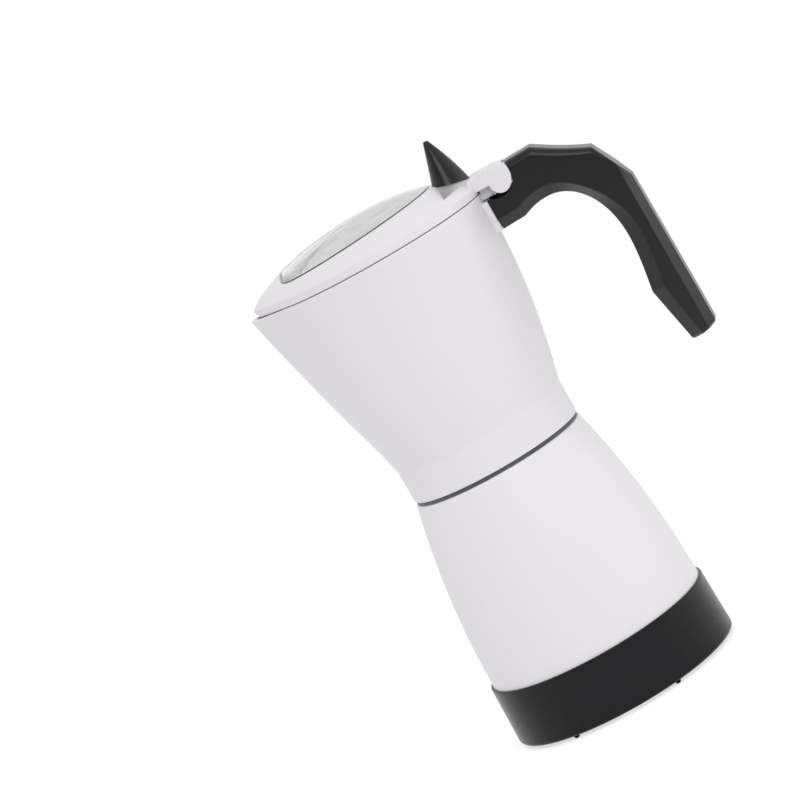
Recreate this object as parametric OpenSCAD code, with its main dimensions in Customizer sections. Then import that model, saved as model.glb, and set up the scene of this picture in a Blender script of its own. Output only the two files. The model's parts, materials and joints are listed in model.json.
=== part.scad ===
// Electric moka pot: base with heater, boiler, funnel, pouring chamber, lid and handle.
// Millimetres, +Z up. The origin is on the pot's axis, on the surface that the feet stand on.
// The beak points along -X and the handle along +X.

/* [Base] */
// Height of the six feet under the bottom cover
foot_h = 1.5; // [1:0.1:2.5]
// Diameter of one foot
foot_d = 3.2; // [2.4:0.1:3.4]
// How far the base ring's foot stands out past the chamber's rim
base_out = 2.35; // [2.15:0.05:4.35]
// How much narrower the base ring is at its top
base_draft = 0.6; // [0.2:0.1:0.8]
// Height of the base ring
base_h = 26.3; // [25:0.1:32]
// Wall of the base ring
base_wall = 2.4; // [1.8:0.1:3]
// Thickness of the bottom cover
cover_t = 2; // [1.6:0.1:3]
// Depth at which the boiler sits in the top of the base ring
boiler_seat = 1.8; // [1.2:0.1:3]

/* [Boiler] */
// How far the boiler sits inside the base ring's top edge
boiler_inset = 1.3; // [1.1:0.1:1.8]
// Outer radius of the boiler at its shoulder
shoulder_r = 39; // [38:0.1:40]
// How far the boiler's side swells past a straight cone
boiler_swell = 2.4; // [1.5:0.1:3.2]
// Height of the boiler from its underside to its shoulder
boiler_h = 84.7; // [78:0.1:95]
// Wall of the boiler
boiler_wall = 3; // [2.2:0.1:3.6]
// Floor of the boiler
boiler_floor = 4; // [3.4:0.1:6]
// Outer radius of the screwed neck
neck_r = 33.5; // [32.6:0.1:34]
// Wall of the screwed neck
neck_wall = 3.1; // [2.4:0.1:3.6]
// Height of the screwed neck above the shoulder
neck_h = 11.3; // [10:0.1:14]
// Height of the safety valve above the boiler's underside
valve_up = 52; // [35:1:58]

/* [Brewing parts] */
// Thickness of the ring in the seam between boiler and chamber
neck_ring_h = 1.6; // [1:0.1:2.4]
// Thickness of the funnel's flange
flange_t = 1.2; // [0.8:0.1:1.6]
// Wall of the funnel
funnel_wall = 1; // [0.8:0.1:1.4]
// Depth of the coffee basket
basket_depth = 20; // [15:0.5:26]
// Outer radius of the funnel's stem
stem_r = 5; // [4:0.1:7]
// Gap between the funnel's stem and the boiler's floor
stem_gap = 4; // [3:0.5:8]
// Thickness of the chamber's seal
gasket_t = 3; // [2.6:0.1:4]
// Inner radius of the chamber's seal
gasket_bore_r = 23.6; // [21:0.1:26]
// Radius of one hole in the two perforated plates
sieve_hole_r = 0.9; // [0.6:0.1:1.1]

/* [Chamber] */
// Outer radius of the straight band above the seam
band_r = 38.65; // [38:0.05:39.4]
// Height of the straight band
band_h = 14.7; // [13:0.1:17]
// Height of the chamber from the seam to its rim
chamber_h = 98.5; // [92:0.1:108]
// Outer radius of the chamber at its rim
rim_r = 48.65; // [47.5:0.05:49]
// How far the chamber's side swells past a straight cone
chamber_swell = 2.85; // [1.5:0.05:3.4]
// Wall of the chamber
chamber_wall = 2.6; // [2.2:0.1:3]
// Floor of the chamber
chamber_floor = 3.6; // [3:0.1:5]
// How far the tip of the beak reaches past the rim
beak_out = 11.55; // [8.95:0.05:14.35]
// Height of the riser tube above the chamber's floor
column_h = 58; // [40:1:64]

/* [Lid] */
// Gap of the seam between chamber and lid
lid_gap = 0.35; // [0.3:0.05:0.6]
// How far the tip of the lid stays behind the tip of the beak
lid_tip_back = 3.2; // [3:0.1:5.7]
// Height of the lid's upright edge
lid_edge_h = 3; // [2:0.1:4]
// Height of the lid's dome above that edge
lid_dome_h = 13.6; // [12.8:0.1:15]
// Wall of the lid's dome
lid_wall = 2; // [1.6:0.1:2.4]
// How much smaller the window's radius is than the rim's
window_in = 11.65; // [11.65:0.05:15.65]
// How much the window's straight front edge cuts off its circle
window_cut = 3; // [2.5:0.5:6.5]
// Width of the finger knob at its foot
knob_w = 15; // [11:0.5:16]
// Height of the finger knob above the front of its foot
knob_h = 18; // [14:0.5:22]

/* [Hinge and handle] */
// How far the lid's hinge pin lies behind the rim
hinge_out = 7.85; // [7.65:0.05:8.55]
// Height of the hinge pin above the chamber's rim
hinge_up = 3.2; // [3:0.1:3.4]
// Radius of the hinge pin
pin_r = 1.5; // [1.2:0.1:2]
// Radius of the hook at the back of the hinge ears
ear_r = 4.7; // [4.3:0.1:4.8]
// Width of the handle and of the hinge
handle_w = 18; // [16:0.5:20]
// Width of the chamber's hinge lug
lug_w = 8.6; // [7:0.2:9]
// Distance from the axis to the back of the handle
handle_back = 108; // [104:0.5:116]
// Height of the handle's lower end below the rim
handle_drop = 93; // [86:0.5:100]
// Depth of the handle's side bevels
bevel_depth = 4.5; // [3:0.1:6]

/* [Electric parts] */
// How much smaller the heating plate's radius is than the boiler's
heater_in = 9.1; // [8.6:0.1:11.1]
// Thickness of the heating plate
heater_t = 4; // [3.6:0.1:4.6]
// Radius at which the heating tube runs
element_ring_r = 31; // [29:0.5:33]
// Radius of the heating tube
element_r = 3.2; // [2.6:0.1:3.4]
// Radius of the socket's guide bore
socket_bore_r = 16.5; // [14.5:0.1:17]
// Length of the socket's guide bore
socket_bore_l = 5; // [4:0.1:5.4]
// Thickness of the socket's wall
socket_wall = 2.5; // [1.8:0.1:3]

/* [Hidden] */

$fn = 64;
eps = 0.01;
// Reach of a cutting tool past the whole pot
cut_far = 150;
fit_gap = 0.05;
seat_gap = 0.15;
slide_gap = 0.4;
ring_steps = 48;

paint = [0.93, 0.93, 0.94];
black = [0.14, 0.14, 0.15];
dark = [0.33, 0.33, 0.35];
steel = [0.72, 0.73, 0.75];
alloy = [0.8, 0.81, 0.82];
brass = [0.8, 0.66, 0.36];
silicone = [0.86, 0.85, 0.8];
clear = [0.75, 0.78, 0.8, 0.45];

// Levels, from the standing surface up
base_r = rim_r + base_out;
boiler_r = base_r - base_draft - boiler_inset;
heater_r = boiler_r - heater_in;
beak_r = rim_r + beak_out;
lid_tip_r = beak_r - lid_tip_back;
window_r = rim_r - window_in;
hinge_x = rim_r + hinge_out;
z_cover = foot_h;
z_cover_top = z_cover + cover_t;
z_base_top = foot_h + base_h;
z_boiler = z_base_top - boiler_seat;
z_water = z_boiler + boiler_floor;
z_shoulder = z_boiler + boiler_h;
z_neck = z_shoulder + neck_h;
z_chamber = z_shoulder + neck_ring_h;
z_flange = z_neck + flange_t;
z_ceiling = z_flange + gasket_t + seat_gap;
z_floor = z_ceiling + chamber_floor;
z_flare = z_chamber + band_h;
z_rim = z_chamber + chamber_h;
z_lid = z_rim + lid_gap;
z_edge = z_lid + lid_edge_h;
z_hinge = z_rim + hinge_up;
z_column = z_floor + column_h;
z_heater = z_boiler - heater_t;

// Curves and lofts
function lerp(a, b, t) = a + (b - a) * t;

function bezier(a, b, c, d, steps) =
    [for (i = [0 : steps - 1]) let (t = i / steps, u = 1 - t)
        a * u * u * u + b * 3 * u * u * t + c * 3 * u * t * t + d * t * t * t];

// Points from a to b on an arc that bulges by rise to the right of the way from a to b
function bulge(a, b, rise, steps) =
    let (run = b - a, span = norm(run), right = [run[1], -run[0]] / span,
         r = (span * span / 4 + rise * rise) / (2 * rise),
         centre = (a + b) / 2 - right * (r - rise),
         half = asin(span / 2 / r), aim = atan2(right[1], right[0]))
    [for (i = [0 : steps]) let (q = aim - half + 2 * half * i / steps)
        centre + r * [cos(q), sin(q)]];

function fillet(centre, r, from, to, steps) =
    [for (i = [0 : steps]) let (q = lerp(from, to, i / steps))
        centre + r * [cos(q), sin(q)]];

// Radius at angle q of a round outline that is drawn out to a soft beak on -X
beak_soft = 8;
function beak_outline(r, tip, q) =
    let (away = abs(q - 180), soft = sqrt(away * away + beak_soft * beak_soft),
         half = acos(min(1, r / tip)) + beak_soft)
    r / cos(max(0, half - soft));

function ring_angle(i) = 360 * i / ring_steps;

function ring_at(radii, z) =
    [for (i = [0 : ring_steps - 1]) let (q = ring_angle(i))
        [radii[i] * cos(q), radii[i] * sin(q), z]];

module loft(rings) {
    n = len(rings[0]);
    last = len(rings) - 1;
    points = [for (ring = rings) each ring];
    sides = [for (k = [0 : last - 1]) for (i = [0 : n - 1])
        let (a = k * n + i, b = k * n + (i + 1) % n, c = b + n, d = a + n)
        each [[a, d, c], [a, c, b]]];
    foot = [[for (i = [0 : n - 1]) i]];
    head = [[for (i = [n - 1 : -1 : 0]) last * n + i]];
    polyhedron(points, concat(sides, foot, head));
}

function smooth_path(p, steps) =
    let (n = len(p))
    concat([for (k = [0 : n - 2]) for (s = [0 : steps - 1])
        let (t = s / steps, a = p[max(k - 1, 0)], b = p[k], c = p[k + 1], d = p[min(k + 2, n - 1)])
        b + (c - a) * t / 2 + (2 * a - 5 * b + 4 * c - d) * t * t / 2
          + (3 * b - a - 3 * c + d) * t * t * t / 2], [p[n - 1]]);

module tube(path, r, sides) {
    n = len(path);
    guide = [0.31, 0.87, 0.38];
    rings = [for (k = [0 : n - 1])
        let (along = path[min(k + 1, n - 1)] - path[max(k - 1, 0)],
             across = cross(along, guide), u = across / norm(across),
             over = cross(along, u), v = over / norm(over))
        [for (i = [0 : sides - 1]) let (q = 360 * i / sides)
            path[k] + r * (cos(q) * u + sin(q) * v)]];
    loft(rings);
}

// Copies at equal angles
module around(count, r, start = 0) {
    for (i = [0 : count - 1]) rotate([0, 0, start + 360 * i / count]) translate([r, 0, 0]) children();
}

// A screw that points up, with its head's seat at z = 0 and a cross in the head
module screw_up(head_r, head_h, shank_r, length) {
    slot = head_r * 0.3;
    difference() {
        translate([0, 0, -head_h]) cylinder(r = head_r, h = head_h);
        for (turn = [0, 90]) rotate([0, 0, turn])
            translate([-head_r * 0.7, -slot / 2, -head_h - eps])
                cube([head_r * 1.4, slot, head_h / 2]);
    }
    cylinder(r = shank_r, h = length);
}

// Rows of a hexagonal sieve inside radius r
module sieve_holes(r, z, h) {
    step = sieve_hole_r * 6;
    rows = floor(r / step);
    for (a = [-rows : rows]) for (b = [-rows : rows]) {
        x = step * (a + b / 2);
        y = step * b * sqrt(3) / 2;
        if (norm([x, y]) < r - sieve_hole_r * 2)
            translate([x, y, z]) cylinder(r = sieve_hole_r, h = h);
    }
}

// Base
base_top_r = base_r - base_draft;
base_in_r = base_top_r - base_wall;
base_edge = 1.6;
base_top_round = 0.6;
cover_margin = 0.3;
cover_r = base_r - base_edge - cover_margin;
heater_air = 1;
ledge_r = heater_r + heater_air;
ledge_t = 2.5;
z_ledge = z_boiler - ledge_t;
boss_r = 4.2;
boss_merge = 0.8;
boss_start = 30;
boss_ring_r = base_in_r - boss_r + boss_merge;
foot_margin = 0.2;
foot_ring_r = cover_r - foot_d / 2 - foot_margin;
foot_draft = 0.3;
foot_stem_r = 1;
fixing_r = 1.5;
fixing_head_r = 2.8;
fixing_head_h = 1.6;
cover_screw_l = 8;
screw_tip_gap = 1;
base_screw_l = ledge_t + boiler_floor - screw_tip_gap;
base_screw_ring_r = (ledge_r + base_in_r) / 2;
base_screw_start = 90;

module base_ring() {
    profile = concat(
        fillet([base_r - base_edge, z_cover + base_edge], base_edge, -90, 0, 6),
        fillet([base_top_r - base_top_round, z_base_top - base_top_round], base_top_round, 0, 90, 3),
        [[boiler_r + seat_gap, z_base_top], [boiler_r + seat_gap, z_boiler],
         [ledge_r, z_boiler], [ledge_r, z_ledge], [base_in_r, z_ledge],
         [base_in_r, z_cover_top], [cover_r + seat_gap, z_cover_top], [cover_r + seat_gap, z_cover]]);
    color(black) difference() {
        union() {
            rotate_extrude() polygon(profile);
            around(3, boss_ring_r, boss_start) translate([0, 0, z_cover_top + seat_gap])
                cylinder(r = boss_r, h = z_ledge - z_cover_top + ledge_t / 2);
        }
        around(3, boss_ring_r, boss_start) translate([0, 0, z_cover_top - eps])
            cylinder(r = fixing_r + fit_gap, h = cover_screw_l + screw_tip_gap);
        around(3, base_screw_ring_r, base_screw_start) translate([0, 0, z_ledge - eps])
            cylinder(r = fixing_r + fit_gap, h = ledge_t + 2 * eps);
    }
}

module bottom_cover() {
    color(black) difference() {
        translate([0, 0, z_cover]) cylinder(r = cover_r, h = cover_t);
        translate([0, 0, z_cover - eps]) cylinder(r = socket_out_r + seat_gap, h = cover_t + 2 * eps);
        around(6, foot_ring_r) translate([0, 0, z_cover - eps])
            cylinder(r = foot_stem_r + fit_gap, h = cover_t + 2 * eps);
        around(3, boss_ring_r, boss_start) translate([0, 0, z_cover - eps]) {
            cylinder(r = fixing_r + fit_gap, h = cover_t + 2 * eps);
            cylinder(r = fixing_head_r + seat_gap, h = cover_t / 2 + eps);
        }
        around(3, socket_screw_ring_r, 90) translate([0, 0, z_cover - eps]) {
            cylinder(r = fixing_r + fit_gap, h = cover_t + 2 * eps);
            cylinder(r = fixing_head_r + seat_gap, h = cover_t / 2 + eps);
        }
    }
}

module feet() {
    color(black) around(6, foot_ring_r) {
        cylinder(r1 = foot_d / 2 - foot_draft, r2 = foot_d / 2, h = foot_h);
        translate([0, 0, foot_h]) cylinder(r = foot_stem_r, h = cover_t);
    }
}

module cover_screws() {
    color(steel) around(3, boss_ring_r, boss_start) translate([0, 0, z_cover + cover_t / 2])
        screw_up(fixing_head_r, cover_t / 2, fixing_r, cover_t / 2 + cover_screw_l);
}

module base_screws() {
    color(steel) around(3, base_screw_ring_r, base_screw_start) translate([0, 0, z_ledge])
        screw_up(fixing_head_r, fixing_head_h, fixing_r, base_screw_l);
}

// Cordless socket, which ends just under the thermostat's bracket
thermostat_h = 7;
bracket_t = 1;
z_thermostat = z_heater - thermostat_h;
socket_air = 0.9;
socket_out_r = socket_bore_r + socket_wall;
socket_flange_w = 7;
socket_flange_r = socket_out_r + socket_flange_w;
socket_flange_t = 2;
socket_screw_ring_r = socket_out_r + 3.6;
socket_guide_step = 1.5;
socket_screw_l = socket_flange_t;
socket_roof_t = 2;
socket_inner_r = socket_bore_r - socket_guide_step;
z_guide_end = z_cover + socket_bore_l;
z_socket_top = z_thermostat - bracket_t - socket_air;
z_socket_roof = z_socket_top - socket_roof_t;
contact_pin_r = 4;
contact_ring_r = 10;
contact_ring_t = 1;
contact_set_back = 0.5;
contact_reach = z_socket_roof - z_guide_end - contact_set_back;
blade_w = 4;
blade_t = 0.8;
blade_h = 3;
blade_ring_r = socket_bore_r - 1.65;
blade_at = blade_ring_r * [cos(45), sin(45)];
blade_signs = [[1, 1], [-1, 1], [1, -1]];

module connector_socket() {
    profile = [[socket_bore_r, z_cover], [socket_out_r, z_cover], [socket_out_r, z_cover_top],
               [socket_flange_r, z_cover_top], [socket_flange_r, z_cover_top + socket_flange_t],
               [socket_out_r, z_cover_top + socket_flange_t], [socket_out_r, z_socket_top],
               [0, z_socket_top], [0, z_socket_roof], [socket_inner_r, z_socket_roof],
               [socket_inner_r, z_guide_end], [socket_bore_r, z_guide_end]];
    color(black) difference() {
        rotate_extrude() polygon(profile);
        around(3, socket_screw_ring_r, 90) translate([0, 0, z_cover_top - eps])
            cylinder(r = fixing_r + fit_gap, h = socket_flange_t + 2 * eps);
        for (side = blade_signs)
            translate([side[0] * blade_at[0] - blade_w / 2 - fit_gap,
                       side[1] * blade_at[1] - blade_t / 2 - fit_gap, z_socket_roof - eps])
                cube([blade_w + 2 * fit_gap, blade_t + 2 * fit_gap, socket_roof_t + 2 * eps]);
    }
}

module connector_contacts() {
    color(brass) {
        translate([0, 0, z_socket_roof - contact_reach]) difference() {
            cylinder(r = contact_pin_r, h = contact_reach);
            translate([0, 0, -eps])
                cylinder(r = contact_pin_r - contact_ring_t, h = contact_reach - contact_ring_t);
        }
        translate([0, 0, z_socket_roof - contact_reach]) difference() {
            cylinder(r = contact_ring_r, h = contact_reach);
            translate([0, 0, -eps])
                cylinder(r = contact_ring_r - contact_ring_t, h = contact_reach + 2 * eps);
        }
        for (side = blade_signs)
            translate([side[0] * blade_at[0] - blade_w / 2,
                       side[1] * blade_at[1] - blade_t / 2, z_socket_roof])
                cube([blade_w, blade_t, socket_roof_t + blade_h]);
    }
}

module socket_screws() {
    color(steel) around(3, socket_screw_ring_r, 90) translate([0, 0, z_cover + cover_t / 2])
        screw_up(fixing_head_r, cover_t / 2, fixing_r, cover_t / 2 + socket_screw_l);
}

// Heater
element_sunk = 2;
z_element = z_heater - element_r + element_sunk;
element_open = 44;
element_leg = 5;
element_pin_r = 1.3;
element_pin_l = 3;
element_leg_r = element_r * 0.75;
element_in = 6;
element_ends = [180 - element_open / 2 - element_in, 180 + element_open / 2 + element_in];
heater_screw_ring_r = 20;
heater_screw_start = 75;
thermostat_r = 8;
thermostat_cap_h = 2;
bracket_w = 8;
bracket_foot = 6;
bracket_leg_x = thermostat_r + 1.2;
bracket_screw_x = bracket_leg_x + bracket_t + bracket_foot / 2;
bracket_screw_l = 3;
bracket_head_r = fixing_head_r - 0.2;
fuse_r = 1.8;
fuse_l = 12;
fuse_y = -18;
z_fuse = z_heater - fuse_r - fit_gap;
earth_at = [22, -9];
earth_size = [6, 5, 1.2];
lead_r = 0.9;
lead_gap = 0.3;

function element_end(q) = [element_ring_r * cos(q), element_ring_r * sin(q), z_element];

module heating_plate() {
    color(alloy) difference() {
        translate([0, 0, z_heater]) cylinder(r = heater_r, h = heater_t);
        rotate_extrude() translate([element_ring_r, z_element]) circle(r = element_r + fit_gap * 2);
        around(3, heater_screw_ring_r, heater_screw_start) translate([0, 0, z_heater - eps])
            cylinder(r = fixing_r + fit_gap, h = heater_t + 2 * eps);
        for (side = [-1, 1]) translate([side * bracket_screw_x, 0, z_heater - eps])
            cylinder(r = fixing_r + fit_gap, h = bracket_screw_l + eps);
    }
}

module heating_element() {
    color(dark) {
        rotate([0, 0, 180 + element_open / 2]) rotate_extrude(angle = 360 - element_open)
            translate([element_ring_r, z_element]) circle(r = element_r);
        for (q = element_ends) translate(element_end(q)) {
            translate([0, 0, -element_leg]) cylinder(r = element_leg_r, h = element_leg);
            translate([0, 0, -element_leg - element_pin_l])
                cylinder(r = element_pin_r, h = element_pin_l + 1);
        }
    }
}

module heater_screws() {
    color(steel) around(3, heater_screw_ring_r, heater_screw_start) translate([0, 0, z_heater])
        screw_up(fixing_head_r, fixing_head_h, fixing_r, heater_t + boiler_floor - screw_tip_gap);
}

thermostat_tab = [4, 3, 0.8];
thermostat_tab_in = 0.5;
z_thermostat_tab = z_thermostat + 3;

module thermostat() {
    color([0.55, 0.38, 0.28]) translate([0, 0, z_thermostat]) {
        cylinder(r = thermostat_r, h = thermostat_h - thermostat_cap_h);
        translate([0, 0, thermostat_h - thermostat_cap_h])
            cylinder(r = thermostat_r - 1, h = thermostat_cap_h);
    }
    color(brass) for (side = [-1, 1])
        translate([-thermostat_tab[0] / 2, side * (thermostat_r + thermostat_tab[1] / 2 - thermostat_tab_in)
                   - thermostat_tab[1] / 2, z_thermostat_tab])
            cube(thermostat_tab);
}

module thermostat_bracket() {
    reach = bracket_leg_x + bracket_t;
    color(steel) difference() {
        union() {
            translate([-reach, -bracket_w / 2, z_thermostat - bracket_t])
                cube([2 * reach, bracket_w, bracket_t]);
            for (side = [-1, 1]) {
                translate([side * (bracket_leg_x + bracket_t / 2) - bracket_t / 2, -bracket_w / 2,
                           z_thermostat - bracket_t])
                    cube([bracket_t, bracket_w, thermostat_h + bracket_t]);
                translate([side * bracket_screw_x - bracket_foot / 2 - (side > 0 ? eps : 0), -bracket_w / 2,
                           z_heater - bracket_t])
                    cube([bracket_foot + eps, bracket_w, bracket_t]);
            }
        }
        for (side = [-1, 1]) translate([side * bracket_screw_x, 0, z_heater - bracket_t - eps])
            cylinder(r = fixing_r + fit_gap, h = bracket_t + 2 * eps);
    }
}

module bracket_screws() {
    color(steel) for (side = [-1, 1]) translate([side * bracket_screw_x, 0, z_heater - bracket_t])
        screw_up(bracket_head_r, fixing_head_h, fixing_r, bracket_t + bracket_screw_l - screw_tip_gap / 2);
}

module thermal_fuse() {
    color(steel) translate([-fuse_l / 2, fuse_y, z_fuse]) rotate([0, 90, 0])
        cylinder(r = fuse_r, h = fuse_l);
}

module earth_tab() {
    at = [earth_at[0], earth_at[1], z_heater - earth_size[2] / 2];
    color(brass) translate(at) cube(earth_size, center = true);
}

module heater_leads() {
    z_blade = z_socket_top + blade_h + lead_gap;
    x_fuse = fuse_l / 2 + lead_gap;
    z_tab = z_thermostat_tab + thermostat_tab[2] / 2;
    y_tab = thermostat_r + thermostat_tab[1] - thermostat_tab_in + lead_gap;
    z_pin = z_element - element_leg - element_pin_l - lead_gap;
    z_earth = z_heater - earth_size[2] - lead_gap;
    low = z_pin - 5;
    pin_a = element_end(element_ends[0]);
    pin_b = element_end(element_ends[1]);
    bx = blade_at[0];
    by = blade_at[1];
    live = [[bx, by, z_blade], [bx, by, z_blade + 2.5], [bx - 3, by + 4, z_blade + 3.5],
            [2, y_tab + 4, z_tab + 1], [0, y_tab + 2, z_tab], [0, y_tab, z_tab]];
    link = [[0, -y_tab, z_tab], [0, -y_tab - 2, z_tab], [5, -y_tab - 2.5, z_tab - 1],
            [11, fuse_y + 2, z_fuse - 1], [10, fuse_y, z_fuse], [x_fuse, fuse_y, z_fuse]];
    feed = [[-x_fuse, fuse_y, z_fuse], [-x_fuse - 4, fuse_y, z_fuse - 0.5],
            [-20, fuse_y - 4, z_fuse - 8], [pin_b[0] + 3, pin_b[1] - 5, low + 1],
            [pin_b[0], pin_b[1], low + 1.5], [pin_b[0], pin_b[1], z_pin]];
    neutral = [[-bx, by, z_blade], [-bx, by, z_blade + 2.5], [-bx - 4, by + 4, z_blade + 2],
               [pin_a[0] + 6, pin_a[1] + 7, low + 4], [pin_a[0] + 1, pin_a[1] + 2, low + 1],
               [pin_a[0], pin_a[1], low + 2], [pin_a[0], pin_a[1], z_pin]];
    earth = [[bx, -by, z_blade], [bx, -by, z_blade + 2], [bx + 5, -by, z_blade + 2.5],
             [earth_at[0], earth_at[1], z_earth - 2.5], [earth_at[0], earth_at[1], z_earth]];
    color([0.8, 0.45, 0.3]) for (route = [live, link, feed, neutral, earth])
        tube(smooth_path(route, 3), lead_r, 8);
}

// Boiler
neck_bore_r = neck_r - neck_wall;
shoulder_round = 1.2;
neck_chamfer = 0.6;
water_corner = 3;
shoulder_under = 2;
boiler_side = bulge([boiler_r, z_base_top], [shoulder_r, z_shoulder - shoulder_round], boiler_swell, 16);
z_inside_top = z_shoulder - 4 * shoulder_under;
boiler_inside = [for (p = boiler_side) if (p[1] > z_water + water_corner + 1 && p[1] < z_inside_top)
    [p[0] - boiler_wall, p[1]]];
z_valve = z_boiler + valve_up;
valve_level = [for (i = [1 : 16]) if (boiler_side[i - 1][1] <= z_valve && boiler_side[i][1] > z_valve) i][0];
valve_share = (z_valve - boiler_side[valve_level - 1][1])
            / (boiler_side[valve_level][1] - boiler_side[valve_level - 1][1]);
valve_wall_r = lerp(boiler_side[valve_level - 1][0], boiler_side[valve_level][0], valve_share);

module boiler() {
    last_in = boiler_inside[len(boiler_inside) - 1];
    profile = concat(
        [[0, z_boiler], [boiler_r, z_boiler]], boiler_side,
        fillet([shoulder_r - shoulder_round, z_shoulder - shoulder_round], shoulder_round, 0, 90, 4),
        [[neck_r, z_shoulder], [neck_r, z_neck - neck_chamfer], [neck_r - neck_chamfer, z_neck],
         [neck_bore_r, z_neck], [neck_bore_r, z_shoulder - shoulder_under],
         [last_in[0], last_in[1] + shoulder_under]],
        [for (i = [len(boiler_inside) - 1 : -1 : 0]) boiler_inside[i]],
        fillet([boiler_inside[0][0] - water_corner, z_water + water_corner], water_corner, 0, -90, 4),
        [[0, z_water]]);
    color(paint) difference() {
        union() {
            rotate_extrude() polygon(profile);
            translate([0, valve_seat_y - valve_pad_l, z_valve]) rotate([-90, 0, 0])
                cylinder(r = valve_pad_r, h = valve_pad_l);
        }
        translate([0, 0, z_valve]) rotate([-90, 0, 0])
            translate([0, 0, valve_seat_y - valve_pad_l - 2])
                cylinder(r = valve_shank_r + fit_gap, h = valve_pad_l + 4);
        for (place = [[base_screw_ring_r, base_screw_start], [heater_screw_ring_r, heater_screw_start]])
            around(3, place[0], place[1]) translate([0, 0, z_boiler - eps])
                cylinder(r = fixing_r + fit_gap, h = boiler_floor - screw_tip_gap + fit_gap);
    }
}

// Safety valve on the side away from the beak's left, along +Y
valve_pad_r = 7.4;
valve_pad_out = 1;
valve_seat_y = valve_wall_r + valve_pad_out;
valve_pad_l = 5.5;
valve_shank_r = 4;
valve_hex_r = 6.8;
valve_hex_t = 4;
valve_washer_t = 0.8;
valve_bore_r = 2.8;
valve_lip = 1.5;
valve_port_r = 1.5;
valve_stem_r = 1.2;
valve_disc_r = 2.4;
valve_disc_t = 1.2;
valve_tip = 2;
vent_x = 2.1;
vent_r = 0.5;
valve_in_y = valve_seat_y - valve_pad_l - 1;
valve_disc_y = valve_in_y + valve_lip;
valve_hex_y = valve_seat_y + valve_washer_t;
valve_out_y = valve_hex_y + valve_hex_t;
spring_wire_r = 0.3;
spring_turns = 5;
spring_r = (valve_stem_r + valve_bore_r) / 2;
spring_end_gap = 0.05;

module along_valve(y) {
    translate([0, y, z_valve]) rotate([-90, 0, 0]) children();
}

module valve_body() {
    color(brass) difference() {
        union() {
            along_valve(valve_in_y) cylinder(r = valve_shank_r, h = valve_out_y - valve_in_y);
            along_valve(valve_hex_y) cylinder(r = valve_hex_r, h = valve_hex_t, $fn = 6);
        }
        along_valve(valve_in_y - eps) cylinder(r = valve_port_r, h = valve_lip + 2 * eps);
        along_valve(valve_disc_y) cylinder(r = valve_bore_r, h = valve_out_y - valve_lip - valve_disc_y);
        along_valve(valve_in_y) cylinder(r = valve_stem_r + fit_gap, h = valve_out_y - valve_in_y + eps);
        for (side = [-1, 1]) along_valve(valve_out_y - valve_lip - eps)
            translate([side * vent_x, 0, 0]) cylinder(r = vent_r, h = valve_lip + 2 * eps);
    }
}

module valve_washer() {
    color(silicone) along_valve(valve_seat_y) difference() {
        cylinder(r = valve_hex_r - 0.4, h = valve_washer_t);
        translate([0, 0, -eps]) cylinder(r = valve_shank_r + fit_gap, h = valve_washer_t + 2 * eps);
    }
}

module valve_stem() {
    color(steel) {
        along_valve(valve_disc_y) cylinder(r = valve_disc_r, h = valve_disc_t);
        along_valve(valve_disc_y) cylinder(r = valve_stem_r, h = valve_out_y + valve_tip - valve_disc_y);
    }
}

module valve_spring() {
    from = valve_disc_y + valve_disc_t + spring_wire_r + spring_end_gap;
    to = valve_out_y - valve_lip - spring_wire_r - spring_end_gap;
    steps = spring_turns * 10;
    path = [for (i = [0 : steps]) let (q = 360 * spring_turns * i / steps)
        [spring_r * cos(q), lerp(from, to, i / steps), z_valve + spring_r * sin(q)]];
    color(steel) tube(path, spring_wire_r, 6);
}

// Funnel, seal, filter and seam ring
basket_r = neck_bore_r - slide_gap;
z_basket = z_neck - basket_depth;
cone_h = 10;
z_stem = z_water + stem_gap;
basket_plate_t = 0.8;
basket_plate_seat = 1.2;
basket_step = 0.6;
flange_inset = 0.5;
flange_r = neck_r - flange_inset;
sieve_margin = 2;
socket_thread_r = neck_r + slide_gap;
gasket_r = socket_thread_r - slide_gap;
filter_r = gasket_bore_r - seat_gap;
filter_rim_h = 1.5;
filter_t = 0.8;
filter_rim_t = 1;
seam_inset = 0.5;

module coffee_funnel() {
    in_r = basket_r - funnel_wall;
    profile = [[in_r, z_flange], [flange_r, z_flange], [flange_r, z_neck], [basket_r, z_neck],
               [basket_r, z_basket], [stem_r, z_basket - cone_h], [stem_r, z_stem],
               [stem_r - funnel_wall, z_stem], [stem_r - funnel_wall, z_basket - cone_h + basket_step],
               [in_r - basket_plate_seat, z_basket], [in_r - basket_plate_seat, z_basket + basket_step],
               [in_r, z_basket + basket_step]];
    color(alloy) rotate_extrude() polygon(profile);
}

module basket_plate() {
    r = basket_r - funnel_wall - fit_gap;
    color(steel) difference() {
        translate([0, 0, z_basket + basket_step]) cylinder(r = r, h = basket_plate_t);
        sieve_holes(r - sieve_margin, z_basket, basket_step + basket_plate_t + eps);
    }
}

module chamber_gasket() {
    color(silicone) difference() {
        translate([0, 0, z_flange]) cylinder(r = gasket_r, h = gasket_t);
        translate([0, 0, z_flange - eps]) cylinder(r = gasket_bore_r, h = gasket_t + 2 * eps);
    }
}

module filter_plate() {
    z_top = z_flange + gasket_t;
    z_plate = z_top - filter_rim_h - filter_t;
    color(steel) difference() {
        translate([0, 0, z_plate]) cylinder(r = filter_r, h = filter_t + filter_rim_h);
        translate([0, 0, z_plate + filter_t]) cylinder(r = filter_r - filter_rim_t, h = filter_rim_h + eps);
        sieve_holes(filter_r - sieve_margin, z_plate - eps, filter_t + 2 * eps);
    }
}

module neck_ring() {
    color(dark) difference() {
        translate([0, 0, z_shoulder]) cylinder(r = band_r - seam_inset, h = neck_ring_h);
        translate([0, 0, z_shoulder - eps]) cylinder(r = socket_thread_r, h = neck_ring_h + 2 * eps);
    }
}

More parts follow.
